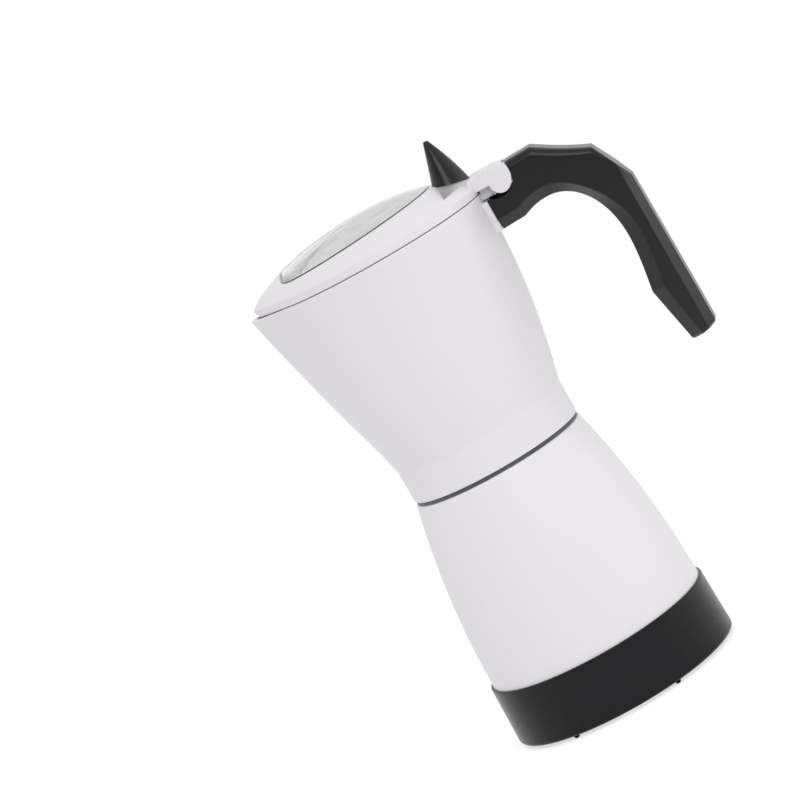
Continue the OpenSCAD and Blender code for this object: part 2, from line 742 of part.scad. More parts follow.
// Chamber
beak_power = 1.65;
chamber_side = bulge([band_r, z_flare], [rim_r, z_rim], chamber_swell, 9);
floor_corner = 2;
lug_wall = 1.9;
lug_r = pin_r + lug_wall;
lug_foot_in = 1;
lug_neck_t = 3.2;
z_lug = z_rim - lug_neck_t;
boss_out = 1.7;
boss_x = rim_r + boss_out;
boss_h = 13.6;
boss_drop = 17.3;
z_boss = z_rim - boss_drop;
wall_merge = 0.4;
wall_x = rim_r - chamber_wall + wall_merge;
band_chamfer = 0.6;
tongue_l = 12.5;
tongue_w = 8.4;
tongue_h = 6.4;
handle_top_gap = 0.2;
z_tongue = z_boss + (boss_h - tongue_h) / 2 - handle_top_gap;
handle_screw_out = 6.5;
handle_screw_x = boss_x + handle_screw_out;
handle_screw_r = 2;
handle_screw_head_r = handle_screw_r + 1.7;
handle_screw_head_h = 1.6;
handle_screw_web = 1.2;
column_r = 6.4;
column_bore_r = 3;
column_foot_r = 9;
column_foot_t = 1.6;
column_taper_h = 2;
column_top_r = 5;
cap_r = 7.2;
cap_h = 12;
cap_skirt = 6;
cap_round = 3;
cap_top_t = 2;
cap_step = 1;
cap_port_r = 1.6;

function beak_tip(r, z) = r + (beak_r - rim_r) * pow(max(0, (z - z_flare) / (z_rim - z_flare)), beak_power);

function chamber_ring(r, z, inset) =
    ring_at([for (i = [0 : ring_steps - 1]) beak_outline(r, beak_tip(r, z), ring_angle(i)) - inset], z);

module upper_chamber() {
    outer = concat([chamber_ring(band_r - band_chamfer, z_chamber, 0),
                    chamber_ring(band_r, z_chamber + band_chamfer, 0)],
                   [for (p = chamber_side) chamber_ring(p[0], p[1], 0)]);
    inner = [for (i = [len(chamber_side) - 1 : -1 : 0]) let (p = chamber_side[i])
             if (p[1] > z_floor + floor_corner) chamber_ring(p[0], p[1], chamber_wall)];
    floor_ring = [chamber_ring(band_r, z_floor, chamber_wall + floor_corner)];
    color(paint) difference() {
        union() {
            loft(concat(outer, inner, floor_ring));
            hinge_lug();
            translate([wall_x, -handle_w / 2 + wall_merge, z_boss])
                cube([boss_x - wall_x, handle_w - 2 * wall_merge, boss_h]);
            translate([boss_x - 1, -tongue_w / 2, z_tongue]) cube([tongue_l + 1, tongue_w, tongue_h]);
        }
        translate([0, 0, z_chamber - eps]) cylinder(r = socket_thread_r, h = z_ceiling - z_chamber + eps);
        translate([0, 0, z_ceiling - eps]) cylinder(r = column_r + fit_gap, h = chamber_floor + 2 * eps);
        translate([hinge_x, -handle_w, z_hinge]) rotate([-90, 0, 0])
            cylinder(r = pin_r + fit_gap / 2, h = 2 * handle_w);
        translate([handle_screw_x, 0, z_tongue - eps])
            cylinder(r = handle_screw_r + fit_gap, h = tongue_h + 2 * eps);
    }
}

module hinge_lug() {
    translate([0, lug_w / 2, 0]) rotate([90, 0, 0]) linear_extrude(lug_w) {
        translate([hinge_x, z_hinge]) circle(r = lug_r);
        translate([wall_x, z_lug]) square([hinge_x - wall_x, lug_neck_t]);
        polygon([[hinge_x - lug_r, z_lug], [hinge_x + lug_r - lug_foot_in, z_lug],
                 [hinge_x + lug_r, z_hinge], [hinge_x - lug_r, z_hinge]]);
    }
}

module coffee_column() {
    profile = [[column_bore_r, z_ceiling], [column_r, z_ceiling], [column_r, z_floor],
               [column_foot_r, z_floor], [column_foot_r, z_floor + column_foot_t],
               [column_r, z_floor + column_foot_t + column_taper_h],
               [column_top_r, z_column - cap_skirt - column_taper_h],
               [column_top_r, z_column], [column_bore_r, z_column]];
    color(alloy) rotate_extrude() polygon(profile);
}

module column_cap() {
    z_top = z_column - cap_skirt + cap_h;
    profile = concat([[column_top_r + fit_gap, z_column - cap_skirt], [cap_r, z_column - cap_skirt]],
        fillet([cap_r - cap_round, z_top - cap_round], cap_round, 0, 90, 4),
        [[0, z_top], [0, z_top - cap_top_t], [column_top_r - cap_step, z_top - cap_top_t],
         [column_top_r - cap_step, z_column], [column_top_r + fit_gap, z_column]]);
    color(steel) difference() {
        rotate_extrude() polygon(profile);
        translate([0, -cap_r - 1, z_column + cap_top_t]) rotate([-90, 0, 0])
            cylinder(r = cap_port_r, h = 2 * cap_r + 2);
    }
}

// Handle: cross-sections along its spine, each with bevels towards its inner and outer edge
handle_front = boss_x;
handle_clear = 0.5;
handle_up = 7.6;
z_handle_top = z_rim + handle_up;
z_handle_end = z_rim - handle_drop;
bevel_w = 4.6;
spine_steps = 8;
end_slope = 0.22;
notch_out = 8;
notch_x = hinge_x + notch_out;
hook_off = [2.3, -2.5];
ear_swing = norm(hook_off) + ear_r;
screw_way = 10;
ear_skin = 1.2;
pin_from = -handle_w / 2 + ear_skin;
pin_end_gap = 0.1;
handle_screw_short = 0.5;
z_screw_seat = z_tongue - handle_screw_web;

// Inner edge from the front along the arch to the lower end, moved into the handle by d
function inner_edge(d) =
    let (front = [handle_front, z_rim - 17.5 + d * 0.95],
         crown = [handle_front + 22, z_rim - 14.6 + d],
         grip = [handle_back - 14.8 + d * 1.2, z_rim - 45],
         kink = [handle_back - 17.7 + d * 1.2, z_rim - 70.4],
         end = [handle_back - 12.6 + d, z_handle_end - 3 + d * end_slope])
    concat(bezier(front, front + [8, 0], crown - [7.5, 0], crown, spine_steps),
           bezier(crown, crown + [11.5, 0], grip + [0, 18], grip, spine_steps),
           bezier(grip, grip - [0, 9], kink + [1.2, 8], kink, spine_steps), [kink, end]);

function line(a, b, steps) = [for (i = [0 : steps - 1]) lerp(a, b, i / steps)];

// Outer edge with a point for each point of the inner one
function outer_edge(d) =
    let (front = [handle_front, z_handle_top],
         top = [hinge_x + 19.5, z_handle_top + 0.6],
         slope = [handle_back - 9.8, z_rim - 5.3],
         back = [handle_back - 0.6 - d * 0.9, z_rim - 23.6],
         grip = [handle_back - 0.2 - d, z_rim - 60],
         low = [handle_back - d, z_rim - 78],
         end = [handle_back - d, z_handle_end - 3 + (12.6 - d) * end_slope])
    concat(line(front, top, spine_steps), line(top, slope, spine_steps / 2),
           line(slope, back, spine_steps / 2), line(back, grip, spine_steps), [low, end]);

module handle_bar() {
    half = handle_w / 2;
    core = half - bevel_depth;
    outer = outer_edge(0);
    inner = inner_edge(0);
    outer_face = outer_edge(bevel_w);
    inner_face = inner_edge(bevel_w);
    function at(p, y) = [p[0], y, p[1]];
    loft([for (i = [0 : len(outer) - 1])
        [at(outer[i], -core), at(outer_face[i], -half), at(inner_face[i], -half), at(inner[i], -core),
         at(inner[i], core), at(inner_face[i], half), at(outer_face[i], half), at(outer[i], core)]]);
}

module handle() {
    color(black) difference() {
        handle_bar();
        translate([hinge_x, -handle_w, z_hinge]) rotate([-90, 0, 0])
            cylinder(r = ear_swing + handle_clear, h = 2 * handle_w);
        translate([handle_front - 1, -handle_w, z_boss + boss_h + handle_top_gap])
            cube([hinge_x - handle_front + 1, 2 * handle_w, cut_far]);
        translate([handle_front - 1, -handle_w, z_hinge])
            cube([notch_x - handle_front + 1, 2 * handle_w, cut_far]);
        translate([handle_front - 1, -tongue_w / 2 - seat_gap, z_tongue - seat_gap])
            cube([tongue_l + 1 + seat_gap, tongue_w + 2 * seat_gap, tongue_h + 2 * seat_gap]);
        translate([handle_screw_x, 0, z_screw_seat - screw_way]) {
            cylinder(r = handle_screw_r + fit_gap, h = screw_way + 2 * handle_screw_web);
            cylinder(r = handle_screw_head_r + seat_gap, h = screw_way);
        }
    }
}

module handle_screw() {
    color(steel) translate([handle_screw_x, 0, z_screw_seat])
        screw_up(handle_screw_head_r, handle_screw_head_h, handle_screw_r,
                 handle_screw_web + tongue_h - handle_screw_short);
}

module hinge_pin() {
    color(steel) translate([hinge_x, pin_from + pin_end_gap, z_hinge]) rotate([-90, 0, 0])
        cylinder(r = pin_r, h = handle_w / 2 - pin_from - 2 * pin_end_gap);
}

// Lid
lip_gap = 0.5;
lip_t = 1.6;
lip_h = 3.4;
lip_out = chamber_wall + lip_gap;
lip_share = 1 - (lip_out + lip_t) / rim_r;
window_x = -5.5;
window_front = window_r - window_x - window_cut;
step_gap = 2.5;
step_x = window_x + window_r + step_gap;
step_wall = 1.8;
step_up = 6.8;
z_step = z_lid + step_up;
step_fall = 2.7;
z_step_low = z_step - step_fall;
step_floor = 2;
window_gap = 0.2;
window_flange = 2.2;
window_gasket_t = 0.6;
window_flange_t = 1.2;
knob_foot = 14.2;
knob_x = step_x;
knob_up = 11.3;
z_knob = z_lid + knob_up;
knob_slant = 4.1;
knob_sunk = 0.3;
knob_screw_r = 1.4;
knob_screw_in = 0.5;
knob_screw_x = knob_x + knob_foot / 2 - knob_screw_in;
knob_screw_up = 8;
knob_screw_head_r = knob_screw_r + 1.4;
knob_screw_head_h = 1.6;
arm_up = 8.4;
arm_top = z_lid + arm_up;
arm_low = 1.1;
arm_under = z_lid + arm_low;
arm_in = 3;
arm_x = rim_r - arm_in;
arm_chamfer = 1.5;
ear_corner = 26.3;
arm_back = 2.1;
pour_w = 13;
pour_l = 20;
pour_h = 1.3;
dome_levels = [0.06, 0.2, 0.35, 0.5, 0.62, 0.73, 0.82, 0.9, 0.95, 0.985, 1];

function dome_z(share) = z_edge + lid_dome_h * pow(1 - pow(share, 2.2), 0.8);

function lid_ring(share, inset, z) =
    ring_at([for (i = [0 : ring_steps - 1])
        beak_outline(rim_r, lid_tip_r, ring_angle(i)) * share - inset], z);

// A skin that follows the dome, from one depth below its surface to another
module dome_skin(from, to, reach) {
    levels = [for (s = dome_levels) if (s < reach) s];
    up = [for (s = levels) lid_ring(s, 0, dome_z(s) - to)];
    down = [for (i = [len(levels) - 1 : -1 : 0]) lid_ring(levels[i], 0, dome_z(levels[i]) - from)];
    loft(concat(up, down));
}

module window_shape(grow) {
    intersection() {
        translate([window_x, 0]) circle(r = window_r + grow);
        translate([-window_front - grow, -cut_far]) square([window_front + grow + cut_far, 2 * cut_far]);
    }
}

module window_prism(grow) {
    translate([0, 0, z_lid - lip_h]) linear_extrude(cut_far) window_shape(grow);
}

// The window's flange keeps clear of the step behind it
module flange_prism() {
    intersection() {
        window_prism(window_flange);
        translate([-cut_far, -cut_far, 0])
            cube([cut_far + step_x - step_wall - slide_gap, 2 * cut_far, 2 * cut_far]);
    }
}

module lid_body() {
    inside = [for (s = dome_levels) if (s < 0.88) lid_ring(s, 0, dome_z(s) - lid_wall)];
    edge = [lid_ring(1, lip_out + lip_t, dome_z(lip_share) - lid_wall),
            lid_ring(1, lip_out + lip_t, z_lid - lip_h), lid_ring(1, lip_out, z_lid - lip_h),
            lid_ring(1, lip_out, z_lid), lid_ring(1, 0, z_lid)];
    outside = [for (i = [len(dome_levels) - 1 : -1 : 0]) lid_ring(dome_levels[i], 0, dome_z(dome_levels[i]))];
    loft(concat(inside, edge, outside));
}

// Floor of the step that carries the knob, from its back to the wall in front, where it is lowest
step_edge = [[knob_x + knob_foot, z_step], [step_x, z_step_low]];

module above_step() {
    outline = concat(step_edge, [[step_x, z_step + cut_far], [cut_far, z_step + cut_far], [cut_far, z_step]]);
    translate([0, cut_far, 0]) rotate([90, 0, 0]) linear_extrude(2 * cut_far) polygon(outline);
}

// Solid under the dome that the step is cut from, with the wall in front of it
module step_fill() {
    z_under = z_step_low - step_floor;
    x_wall = step_x - step_wall;
    z_over = z_step + cut_far;
    outline = [[x_wall, z_under], [cut_far, z_under], [cut_far, z_over], [x_wall, z_over]];
    intersection() {
        translate([0, cut_far, 0]) rotate([90, 0, 0]) linear_extrude(2 * cut_far) polygon(outline);
        dome_skin(fit_gap, lid_dome_h + lid_edge_h + 2, 0.99);
    }
}

// Pedestal under the knob: straight sides from the step's wall, round behind
module knob_seat() {
    back = knob_x + knob_foot + 1;
    lean = knob_slant / knob_foot;
    outline = [[knob_x - 1, z_step_low - step_floor / 2], [back, z_step_low - step_floor / 2],
               [back, z_knob - knob_slant - lean], [knob_x - 1, z_knob + lean]];
    intersection() {
        translate([0, knob_w, 0]) rotate([90, 0, 0]) linear_extrude(2 * knob_w) polygon(outline);
        translate([0, 0, z_lid]) linear_extrude(knob_h) polygon(concat(
            [[knob_x - step_wall / 2, knob_w / 2], [knob_x - step_wall / 2, -knob_w / 2]],
            [for (q = [-90 : 15 : 90]) [knob_x + knob_foot / 2 * (1 + cos(q)), knob_w / 2 * sin(q)]]));
    }
}

module hinge_arms() {
    hook = [hinge_x, z_hinge] + hook_off;
    outline = [[arm_x, arm_under], [hook[0], arm_under], hook + [ear_r * 0.98, 0],
               [hinge_x, z_hinge] + ear_swing * [cos(ear_corner), sin(ear_corner)],
               [hinge_x + arm_back, arm_top], [arm_x + arm_chamfer, arm_top], [arm_x, arm_top - arm_chamfer]];
    slot = lug_w / 2 + slide_gap;
    knob_end = knob_x + knob_foot + seat_gap;
    above_seat = [[knob_x, z_knob - knob_sunk], [knob_end, z_knob - knob_slant - knob_sunk],
                  [knob_end, z_knob + knob_h], [knob_x, z_knob + knob_h]];
    difference() {
        translate([0, handle_w / 2, 0]) rotate([90, 0, 0]) linear_extrude(handle_w) {
            polygon(outline);
            translate(hook) circle(r = ear_r);
        }
        translate([rim_r, -slot, 0]) cube([cut_far, 2 * slot, z_hinge + lug_r + slide_gap]);
        translate([0, handle_w, 0]) rotate([90, 0, 0]) linear_extrude(2 * handle_w) polygon(above_seat);
    }
}

module lid_shell() {
    color(paint) difference() {
        union() {
            difference() {
                union() {
                    difference() {
                        lid_body();
                        window_prism(window_gap);
                    }
                    step_fill();
                }
                above_step();
            }
            knob_seat();
            hinge_arms();
        }
        translate([hinge_x, pin_from, z_hinge]) rotate([-90, 0, 0])
            cylinder(r = pin_r + fit_gap, h = handle_w);
        translate([knob_screw_x, 0, z_lid]) cylinder(r = knob_screw_r + fit_gap, h = 2 * knob_h);
        translate([-lid_tip_r - lip_h, -pour_w / 2, z_lid - 2 * lip_h])
            cube([lip_h + pour_l, pour_w, 2 * lip_h + pour_h]);
    }
}

module lid_window() {
    color(clear) union() {
        intersection() {
            dome_skin(0, lid_wall + window_gasket_t + window_flange_t, 0.96);
            window_prism(0);
        }
        intersection() {
            dome_skin(lid_wall + window_gasket_t, lid_wall + window_gasket_t + window_flange_t, 0.96);
            flange_prism();
        }
    }
}

module window_gasket() {
    color(dark) difference() {
        intersection() {
            dome_skin(lid_wall + fit_gap, lid_wall + window_gasket_t - fit_gap, 0.96);
            flange_prism();
        }
        window_prism(window_gap);
    }
}

// Horn-shaped knob: straight in front, rounded behind, on a slanted foot
knob_rows = 8;
knob_lean = 4.6;
knob_sides = 24;

function knob_ring(row) =
    let (u = row / knob_rows, rise = knob_h * u,
         front = knob_x + knob_lean * u,
         back = knob_x + knob_foot - (0.245 * knob_h * u * 1.18 + 0.0055 * pow(knob_h * 1.2 * u, 2)),
         z_front = z_knob + rise, z_back = z_knob - knob_slant + rise * (1 + knob_slant / knob_h),
         half = (back - front) / 2 * (row == knob_rows ? 0.45 : 1),
         wide = knob_w / 2 * pow(1 - u * 0.98, 0.85) + 0.4 * u, mid = (front + back) / 2)
    [for (i = [0 : knob_sides - 1]) let (q = 360 * i / knob_sides, x = half * cos(q))
        [mid + x, wide * sin(q) * (1 - 0.18 * cos(q)), lerp(z_front, z_back, (x / half + 1) / 2) + eps]];

module lid_knob() {
    color(black) difference() {
        loft([for (row = [0 : knob_rows]) knob_ring(row)]);
        translate([knob_screw_x, 0, z_knob - knob_slant])
            cylinder(r = knob_screw_r + fit_gap, h = knob_screw_up + screw_tip_gap);
    }
}

module knob_screw() {
    z_seat = z_step_low - step_floor;
    color(steel) translate([knob_screw_x, 0, z_seat])
        screw_up(knob_screw_head_r, knob_screw_head_h, knob_screw_r,
                 z_knob - knob_slant + knob_screw_up - z_seat);
}

boiler();
base_ring();
bottom_cover();
feet();
cover_screws();
base_screws();
connector_socket();
connector_contacts();
socket_screws();
heating_plate();
heating_element();
heater_screws();
thermostat();
thermostat_bracket();
bracket_screws();
thermal_fuse();
earth_tab();
heater_leads();
valve_body();
valve_washer();
valve_spring();
valve_stem();
coffee_funnel();
basket_plate();
chamber_gasket();
filter_plate();
neck_ring();
upper_chamber();
coffee_column();
column_cap();
handle();
handle_screw();
hinge_pin();
lid_shell();
lid_window();
window_gasket();
lid_knob();
knob_screw();
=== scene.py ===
"""Looks of an electric moka pot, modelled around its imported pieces.

Metres, +Z up. The pot's axis is Z, its beak points along -X and its handle along +X.
"""
import json
import logging
import math
from collections.abc import Callable, Iterator, Sequence
from contextlib import contextmanager
from dataclasses import dataclass
from enum import Enum

import bpy
from mathutils import Matrix, Vector

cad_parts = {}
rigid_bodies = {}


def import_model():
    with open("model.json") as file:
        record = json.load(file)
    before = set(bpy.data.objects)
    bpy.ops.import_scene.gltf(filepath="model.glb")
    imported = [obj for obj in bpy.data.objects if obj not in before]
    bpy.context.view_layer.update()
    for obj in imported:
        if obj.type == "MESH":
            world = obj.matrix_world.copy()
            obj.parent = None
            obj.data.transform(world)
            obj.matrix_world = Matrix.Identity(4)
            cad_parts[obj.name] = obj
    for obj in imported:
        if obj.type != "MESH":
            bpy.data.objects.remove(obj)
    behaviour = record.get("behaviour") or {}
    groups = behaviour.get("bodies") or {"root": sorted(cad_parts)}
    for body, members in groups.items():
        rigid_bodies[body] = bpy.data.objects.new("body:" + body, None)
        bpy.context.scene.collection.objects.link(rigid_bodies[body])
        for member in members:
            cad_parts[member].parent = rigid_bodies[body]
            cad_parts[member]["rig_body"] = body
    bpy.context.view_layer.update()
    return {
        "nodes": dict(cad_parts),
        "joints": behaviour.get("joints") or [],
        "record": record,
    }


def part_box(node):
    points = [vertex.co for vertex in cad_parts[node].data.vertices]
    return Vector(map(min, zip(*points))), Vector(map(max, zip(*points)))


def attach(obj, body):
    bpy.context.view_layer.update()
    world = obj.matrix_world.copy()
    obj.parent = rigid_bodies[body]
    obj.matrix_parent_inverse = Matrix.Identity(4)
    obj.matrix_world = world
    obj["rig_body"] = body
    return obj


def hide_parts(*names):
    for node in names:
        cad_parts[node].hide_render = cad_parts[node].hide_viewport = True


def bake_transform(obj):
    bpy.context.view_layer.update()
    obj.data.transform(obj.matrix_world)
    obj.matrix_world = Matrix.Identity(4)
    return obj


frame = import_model()
LOG = logging.getLogger("moka_pot")

Point = tuple[float, float]
Outline = list[Point]
Colour = tuple[float, float, float]
Shares = tuple[float, ...]
Spot = tuple[float, float, float]
Piece = bpy.types.Object
Face = bpy.types.MeshPolygon
Nodes = bpy.types.Nodes
Links = bpy.types.NodeLinks
Socket = bpy.types.NodeSocket
Place = Callable[[float], Point]

# Number of steps round a turned piece, and round the lid
TURN_STEPS = 192
LID_STEPS = 256
# Distance within which points are merged
MERGE = 1e-6
# Overlap of a cut or an addition with what it starts from
SPECK = 0.001
# Gaps round a fitted pin, a seated piece and a sliding one
FIT_GAP = 0.00005
SEAT_GAP = 0.00015
SLIDE_GAP = 0.0004
# How far a cut runs past what it cuts
CUT_FAR = 0.1
# Upright part of a normal above which a face counts as level
LEVEL_FACE = 0.5
# Outward part of a normal below which a face looks toward the axis
INWARD = -0.2
# Cosine within which a direction counts as sideways
SIDEWAYS = 0.1
# Share of a rounding at which its middle ring stands
ROUND_MID = 0.3
WHITE = (1.0, 1.0, 1.0, 1.0)


def mix(a: float, b: float, share: float) -> float:
    """Value at a share of the way from a to b."""
    return a + (b - a) * share


def arc(centre: Point, radius: float, start: float, end: float, steps: int) -> Outline:
    """Points of an arc.

    Args:
        centre: Centre of the arc.
        radius: Radius of the arc.
        start: Angle of the first point, in degrees.
        end: Angle of the last point, in degrees.
        steps: Number of chords.

    Returns:
        The points in order, both ends included.
    """
    turns = [math.radians(mix(start, end, i / steps)) for i in range(steps + 1)]
    return [(centre[0] + radius * math.cos(q), centre[1] + radius * math.sin(q)) for q in turns]


def bezier(a: Point, b: Point, c: Point, d: Point, steps: int) -> Outline:
    """Points of a cubic curve without its last one.

    Args:
        a: Start.
        b: First handle.
        c: Second handle.
        d: End.
        steps: Number of chords.

    Returns:
        The first points of each chord, in order.
    """
    points = []
    for i in range(steps):
        t = i / steps
        u = 1 - t
        weights = (u * u * u, 3 * u * u * t, 3 * u * t * t, t * t * t)
        points.append(tuple(sum(w * p[k] for w, p in zip(weights, (a, b, c, d))) for k in (0, 1)))
    return points


def straight(a: Point, b: Point, steps: int) -> Outline:
    """Points of a line without its last one."""
    return [(mix(a[0], b[0], i / steps), mix(a[1], b[1], i / steps)) for i in range(steps)]


@dataclass(frozen=True)
class Bulge:
    """Side that swells outward past the straight line from foot to head.

    Attributes:
        foot: Radius and height where the side starts.
        head: Radius and height where it ends.
        rise: How far its middle stands out from the straight line.
    """

    foot: Point
    head: Point
    rise: float

    def circle(self) -> tuple[float, float, float]:
        """Circle that the side follows.

        Returns:
            Radius and height of its centre, and its own radius.
        """
        run_r, run_z = self.head[0] - self.foot[0], self.head[1] - self.foot[1]
        span = math.hypot(run_r, run_z)
        radius = (span * span / 4 + self.rise * self.rise) / (2 * self.rise)
        back = (radius - self.rise) / span
        return ((self.foot[0] + self.head[0]) / 2 - run_z * back,
                (self.foot[1] + self.head[1]) / 2 + run_r * back, radius)

    def reach(self, z: float) -> float:
        """Radius of the side at a height."""
        centre_r, centre_z, radius = self.circle()
        return centre_r + math.sqrt(radius ** 2 - (z - centre_z) ** 2)

    def points(self, low: float, high: float, steps: int, inset: float = 0.0) -> Outline:
        """Points of the side between two heights.

        Args:
            low: Height of the first point.
            high: Height of the last point.
            steps: Number of chords.
            inset: Distance by which the points lie inside the side.

        Returns:
            Radius and height of each point.
        """
        levels = [mix(low, high, i / steps) for i in range(steps + 1)]
        return [(self.reach(z) - inset, z) for z in levels]


@dataclass(frozen=True)
class BeakPlan:
    """Round plan that is drawn out to a soft beak on -X.

    Attributes:
        soft: Angle over which the beak's tip is rounded.
    """

    soft: float = math.radians(8)

    def radius(self, round_r: float, tip: float, turn: float) -> float:
        """Radius of the plan.

        Args:
            round_r: Radius of the round part.
            tip: Distance from the axis to the beak's tip.
            turn: Angle about the axis, from +X.

        Returns:
            Distance from the axis to the outline at that angle.
        """
        away = abs(turn % math.tau - math.pi)
        half = math.acos(min(1.0, round_r / tip)) + self.soft
        return round_r / math.cos(max(0.0, half - math.hypot(away, self.soft)))


@dataclass(frozen=True)
class Levels:
    """Heights that the pieces share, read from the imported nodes.

    Attributes:
        base_top: Top of the base ring.
        boiler_foot: Underside of the boiler.
        shoulder: Shoulder of the boiler, under the seam's ring.
        seam_top: Top of the seam's ring.
        neck_top: Top of the boiler's neck.
        ceiling: Underside of the chamber's floor.
    """

    base_top: float
    boiler_foot: float
    shoulder: float
    seam_top: float
    neck_top: float
    ceiling: float

    @classmethod
    def read(cls) -> "Levels":
        """Read the levels.

        Returns:
            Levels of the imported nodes.
        """
        return cls(base_top=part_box("base_ring")[1].z, boiler_foot=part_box("boiler")[0].z,
                   shoulder=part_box("neck_ring")[0].z, seam_top=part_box("neck_ring")[1].z,
                   neck_top=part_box("boiler")[1].z, ceiling=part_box("coffee_column")[0].z)


LEVEL = Levels.read()
BEAK = BeakPlan()


class Join(Enum):
    """Ways to combine a piece with a tool."""

    ADD = "UNION"
    CUT = "DIFFERENCE"
    KEEP = "INTERSECT"


def pick(piece: Piece) -> None:
    """Make one piece the only one that is selected, and active.

    Args:
        piece: Piece to select.
    """
    bpy.ops.object.select_all(action="DESELECT")
    piece.select_set(True)
    bpy.context.view_layer.objects.active = piece


def named(name: str) -> Piece:
    """Name the primitive that was just added.

    Args:
        name: Name of the piece.

    Returns:
        The piece.
    """
    piece = bpy.context.object
    piece.name = piece.data.name = name
    return piece


@contextmanager
def editing(piece: Piece) -> Iterator[None]:
    """Edit mode on one piece, with all of it selected.

    Args:
        piece: Piece to edit.

    Returns:
        Context in which the piece is in edit mode.
    """
    pick(piece)
    bpy.ops.object.mode_set(mode="EDIT")
    bpy.ops.mesh.select_all(action="SELECT")
    yield
    bpy.ops.object.mode_set(mode="OBJECT")


def close_up() -> None:
    """Merge doubles of the mesh in edit mode and turn its faces outward."""
    bpy.ops.mesh.select_all(action="SELECT")
    bpy.ops.mesh.remove_doubles(threshold=MERGE)
    bpy.ops.mesh.normals_make_consistent(inside=False)


def applied(piece: Piece, modifier: bpy.types.Modifier) -> None:
    """Apply a modifier of a piece."""
    pick(piece)
    bpy.ops.object.modifier_apply(modifier=modifier.name)


def trace(name: str, points: Sequence[Vector], closed: bool = True) -> Piece:
    """Draw a line by extruding one vertex from point to point.

    Args:
        name: Name of the piece.
        points: Points of the line.
        closed: Whether the line returns to its first point.

    Returns:
        The piece, with edges only.
    """
    bpy.ops.object.select_all(action="DESELECT")
    bpy.ops.mesh.primitive_plane_add(size=SPECK)
    piece = named(name)
    way = list(points) + ([points[0]] if closed else [])
    with editing(piece):
        bpy.ops.mesh.merge(type="CENTER")
        bpy.ops.transform.translate(value=way[0])
        for here, there in zip(way, way[1:]):
            bpy.ops.mesh.extrude_region_move(TRANSFORM_OT_translate={"value": there - here})
        bpy.ops.mesh.select_all(action="SELECT")
        bpy.ops.mesh.remove_doubles(threshold=MERGE)
    return piece


def turned(name: str, profile: Outline, closed: bool = True, steps: int = TURN_STEPS) -> Piece:
    """Turn a profile about the Z axis.

    Args:
        name: Name of the piece.
        profile: Radius and height of each point.
        closed: Whether the profile is a loop; a profile from axis to axis isn't.
        steps: Number of steps round the axis.

    Returns:
        The turned piece.
    """
    piece = trace(name, [Vector((r, 0, z)) for r, z in profile], closed)
    with editing(piece):
        bpy.ops.mesh.spin(steps=steps, angle=math.tau, center=(0, 0, 0), axis=(0, 0, 1),
                          use_auto_merge=True)
        close_up()
    return piece


def wound(piece: Piece, axis: str, turns: float, rise: float, turn_steps: int) -> None:
    """Wind a closed outline round an axis through the origin, and close its ends.

    Args:
        piece: Outline to wind.
        axis: Letter of the axis.
        turns: Number of turns.
        rise: Way along the axis from end to end.
        turn_steps: Number of steps in a turn.
    """
    screw = piece.modifiers.new("screw", "SCREW")
    screw.axis = axis
    screw.angle = math.tau * turns
    screw.screw_offset = rise
    screw.steps = screw.render_steps = int(turn_steps * turns)
    applied(piece, screw)
    with editing(piece):
        bpy.ops.mesh.fill_holes(sides=0)
        close_up()


def slab(name: str, outline: Outline, low: float, high: float) -> Piece:
    """Plate with an outline in X and Z, from one Y to another.

    Args:
        name: Name of the piece.
        outline: X and Z of each corner.
        low: Lowest Y.
        high: Highest Y.

    Returns:
        The plate.
    """
    piece = trace(name, [Vector((x, low, z)) for x, z in outline])
    with editing(piece):
        bpy.ops.mesh.edge_face_add()
        bpy.ops.mesh.extrude_region_move(TRANSFORM_OT_translate={"value": (0, high - low, 0)})
        close_up()
    return piece


def block(name: str, low: Sequence[float], high: Sequence[float]) -> Piece:
    """Plain box between two corners, as a tool for a cut or an addition."""
    outline = [(low[0], low[2]), (high[0], low[2]), (high[0], high[2]), (low[0], high[2])]
    return slab(name, outline, low[1], high[1])


def rod(name: str, foot: Sequence[float], along: Sequence[float], radius: float, sides: int = 64) -> Piece:
    """Round tool from a foot along a vector.

    Args:
        name: Name of the piece.
        foot: Centre of its first end.
        along: Way from its first end to its last.
        radius: Radius of the rod.
        sides: Number of sides.

    Returns:
        The rod, with its place in its mesh.
    """
    way = Vector(along)
    bpy.ops.object.select_all(action="DESELECT")
    bpy.ops.mesh.primitive_cylinder_add(vertices=sides, radius=radius, depth=way.length)
    piece = named(name)
    turn = Vector((0, 0, 1)).rotation_difference(way).to_matrix().to_4x4()
    piece.data.transform(Matrix.Translation(Vector(foot) + way / 2) @ turn)
    return piece


def lofted(name: str, rings: Sequence[Sequence[Vector]], looped: bool = False) -> Piece:
    """Skin over rings that all have the same number of points.

    Args:
        name: Name of the piece.
        rings: Points of each ring, in the same order on each.
        looped: Whether the last ring joins the first; otherwise both ends are capped.

    Returns:
        The closed skin.
    """
    sides = len(rings[0])
    bpy.ops.object.select_all(action="DESELECT")
    bpy.ops.mesh.primitive_circle_add(vertices=sides, radius=1.0)
    piece = named(name)
    with editing(piece):
        for _ in rings[1:]:
            bpy.ops.mesh.extrude_region_move(TRANSFORM_OT_translate={"value": (0, 0, 1)})
        bpy.ops.mesh.select_all(action="DESELECT")
        bpy.ops.mesh.select_non_manifold()
        if looped:
            bpy.ops.mesh.bridge_edge_loops()
        else:
            bpy.ops.mesh.fill_holes(sides=0)
    for vertex in piece.data.vertices:
        spoke = round(math.atan2(vertex.co.y, vertex.co.x) / math.tau * sides) % sides
        vertex.co = rings[round(vertex.co.z)][spoke]
    with editing(piece):
        close_up()
    return piece


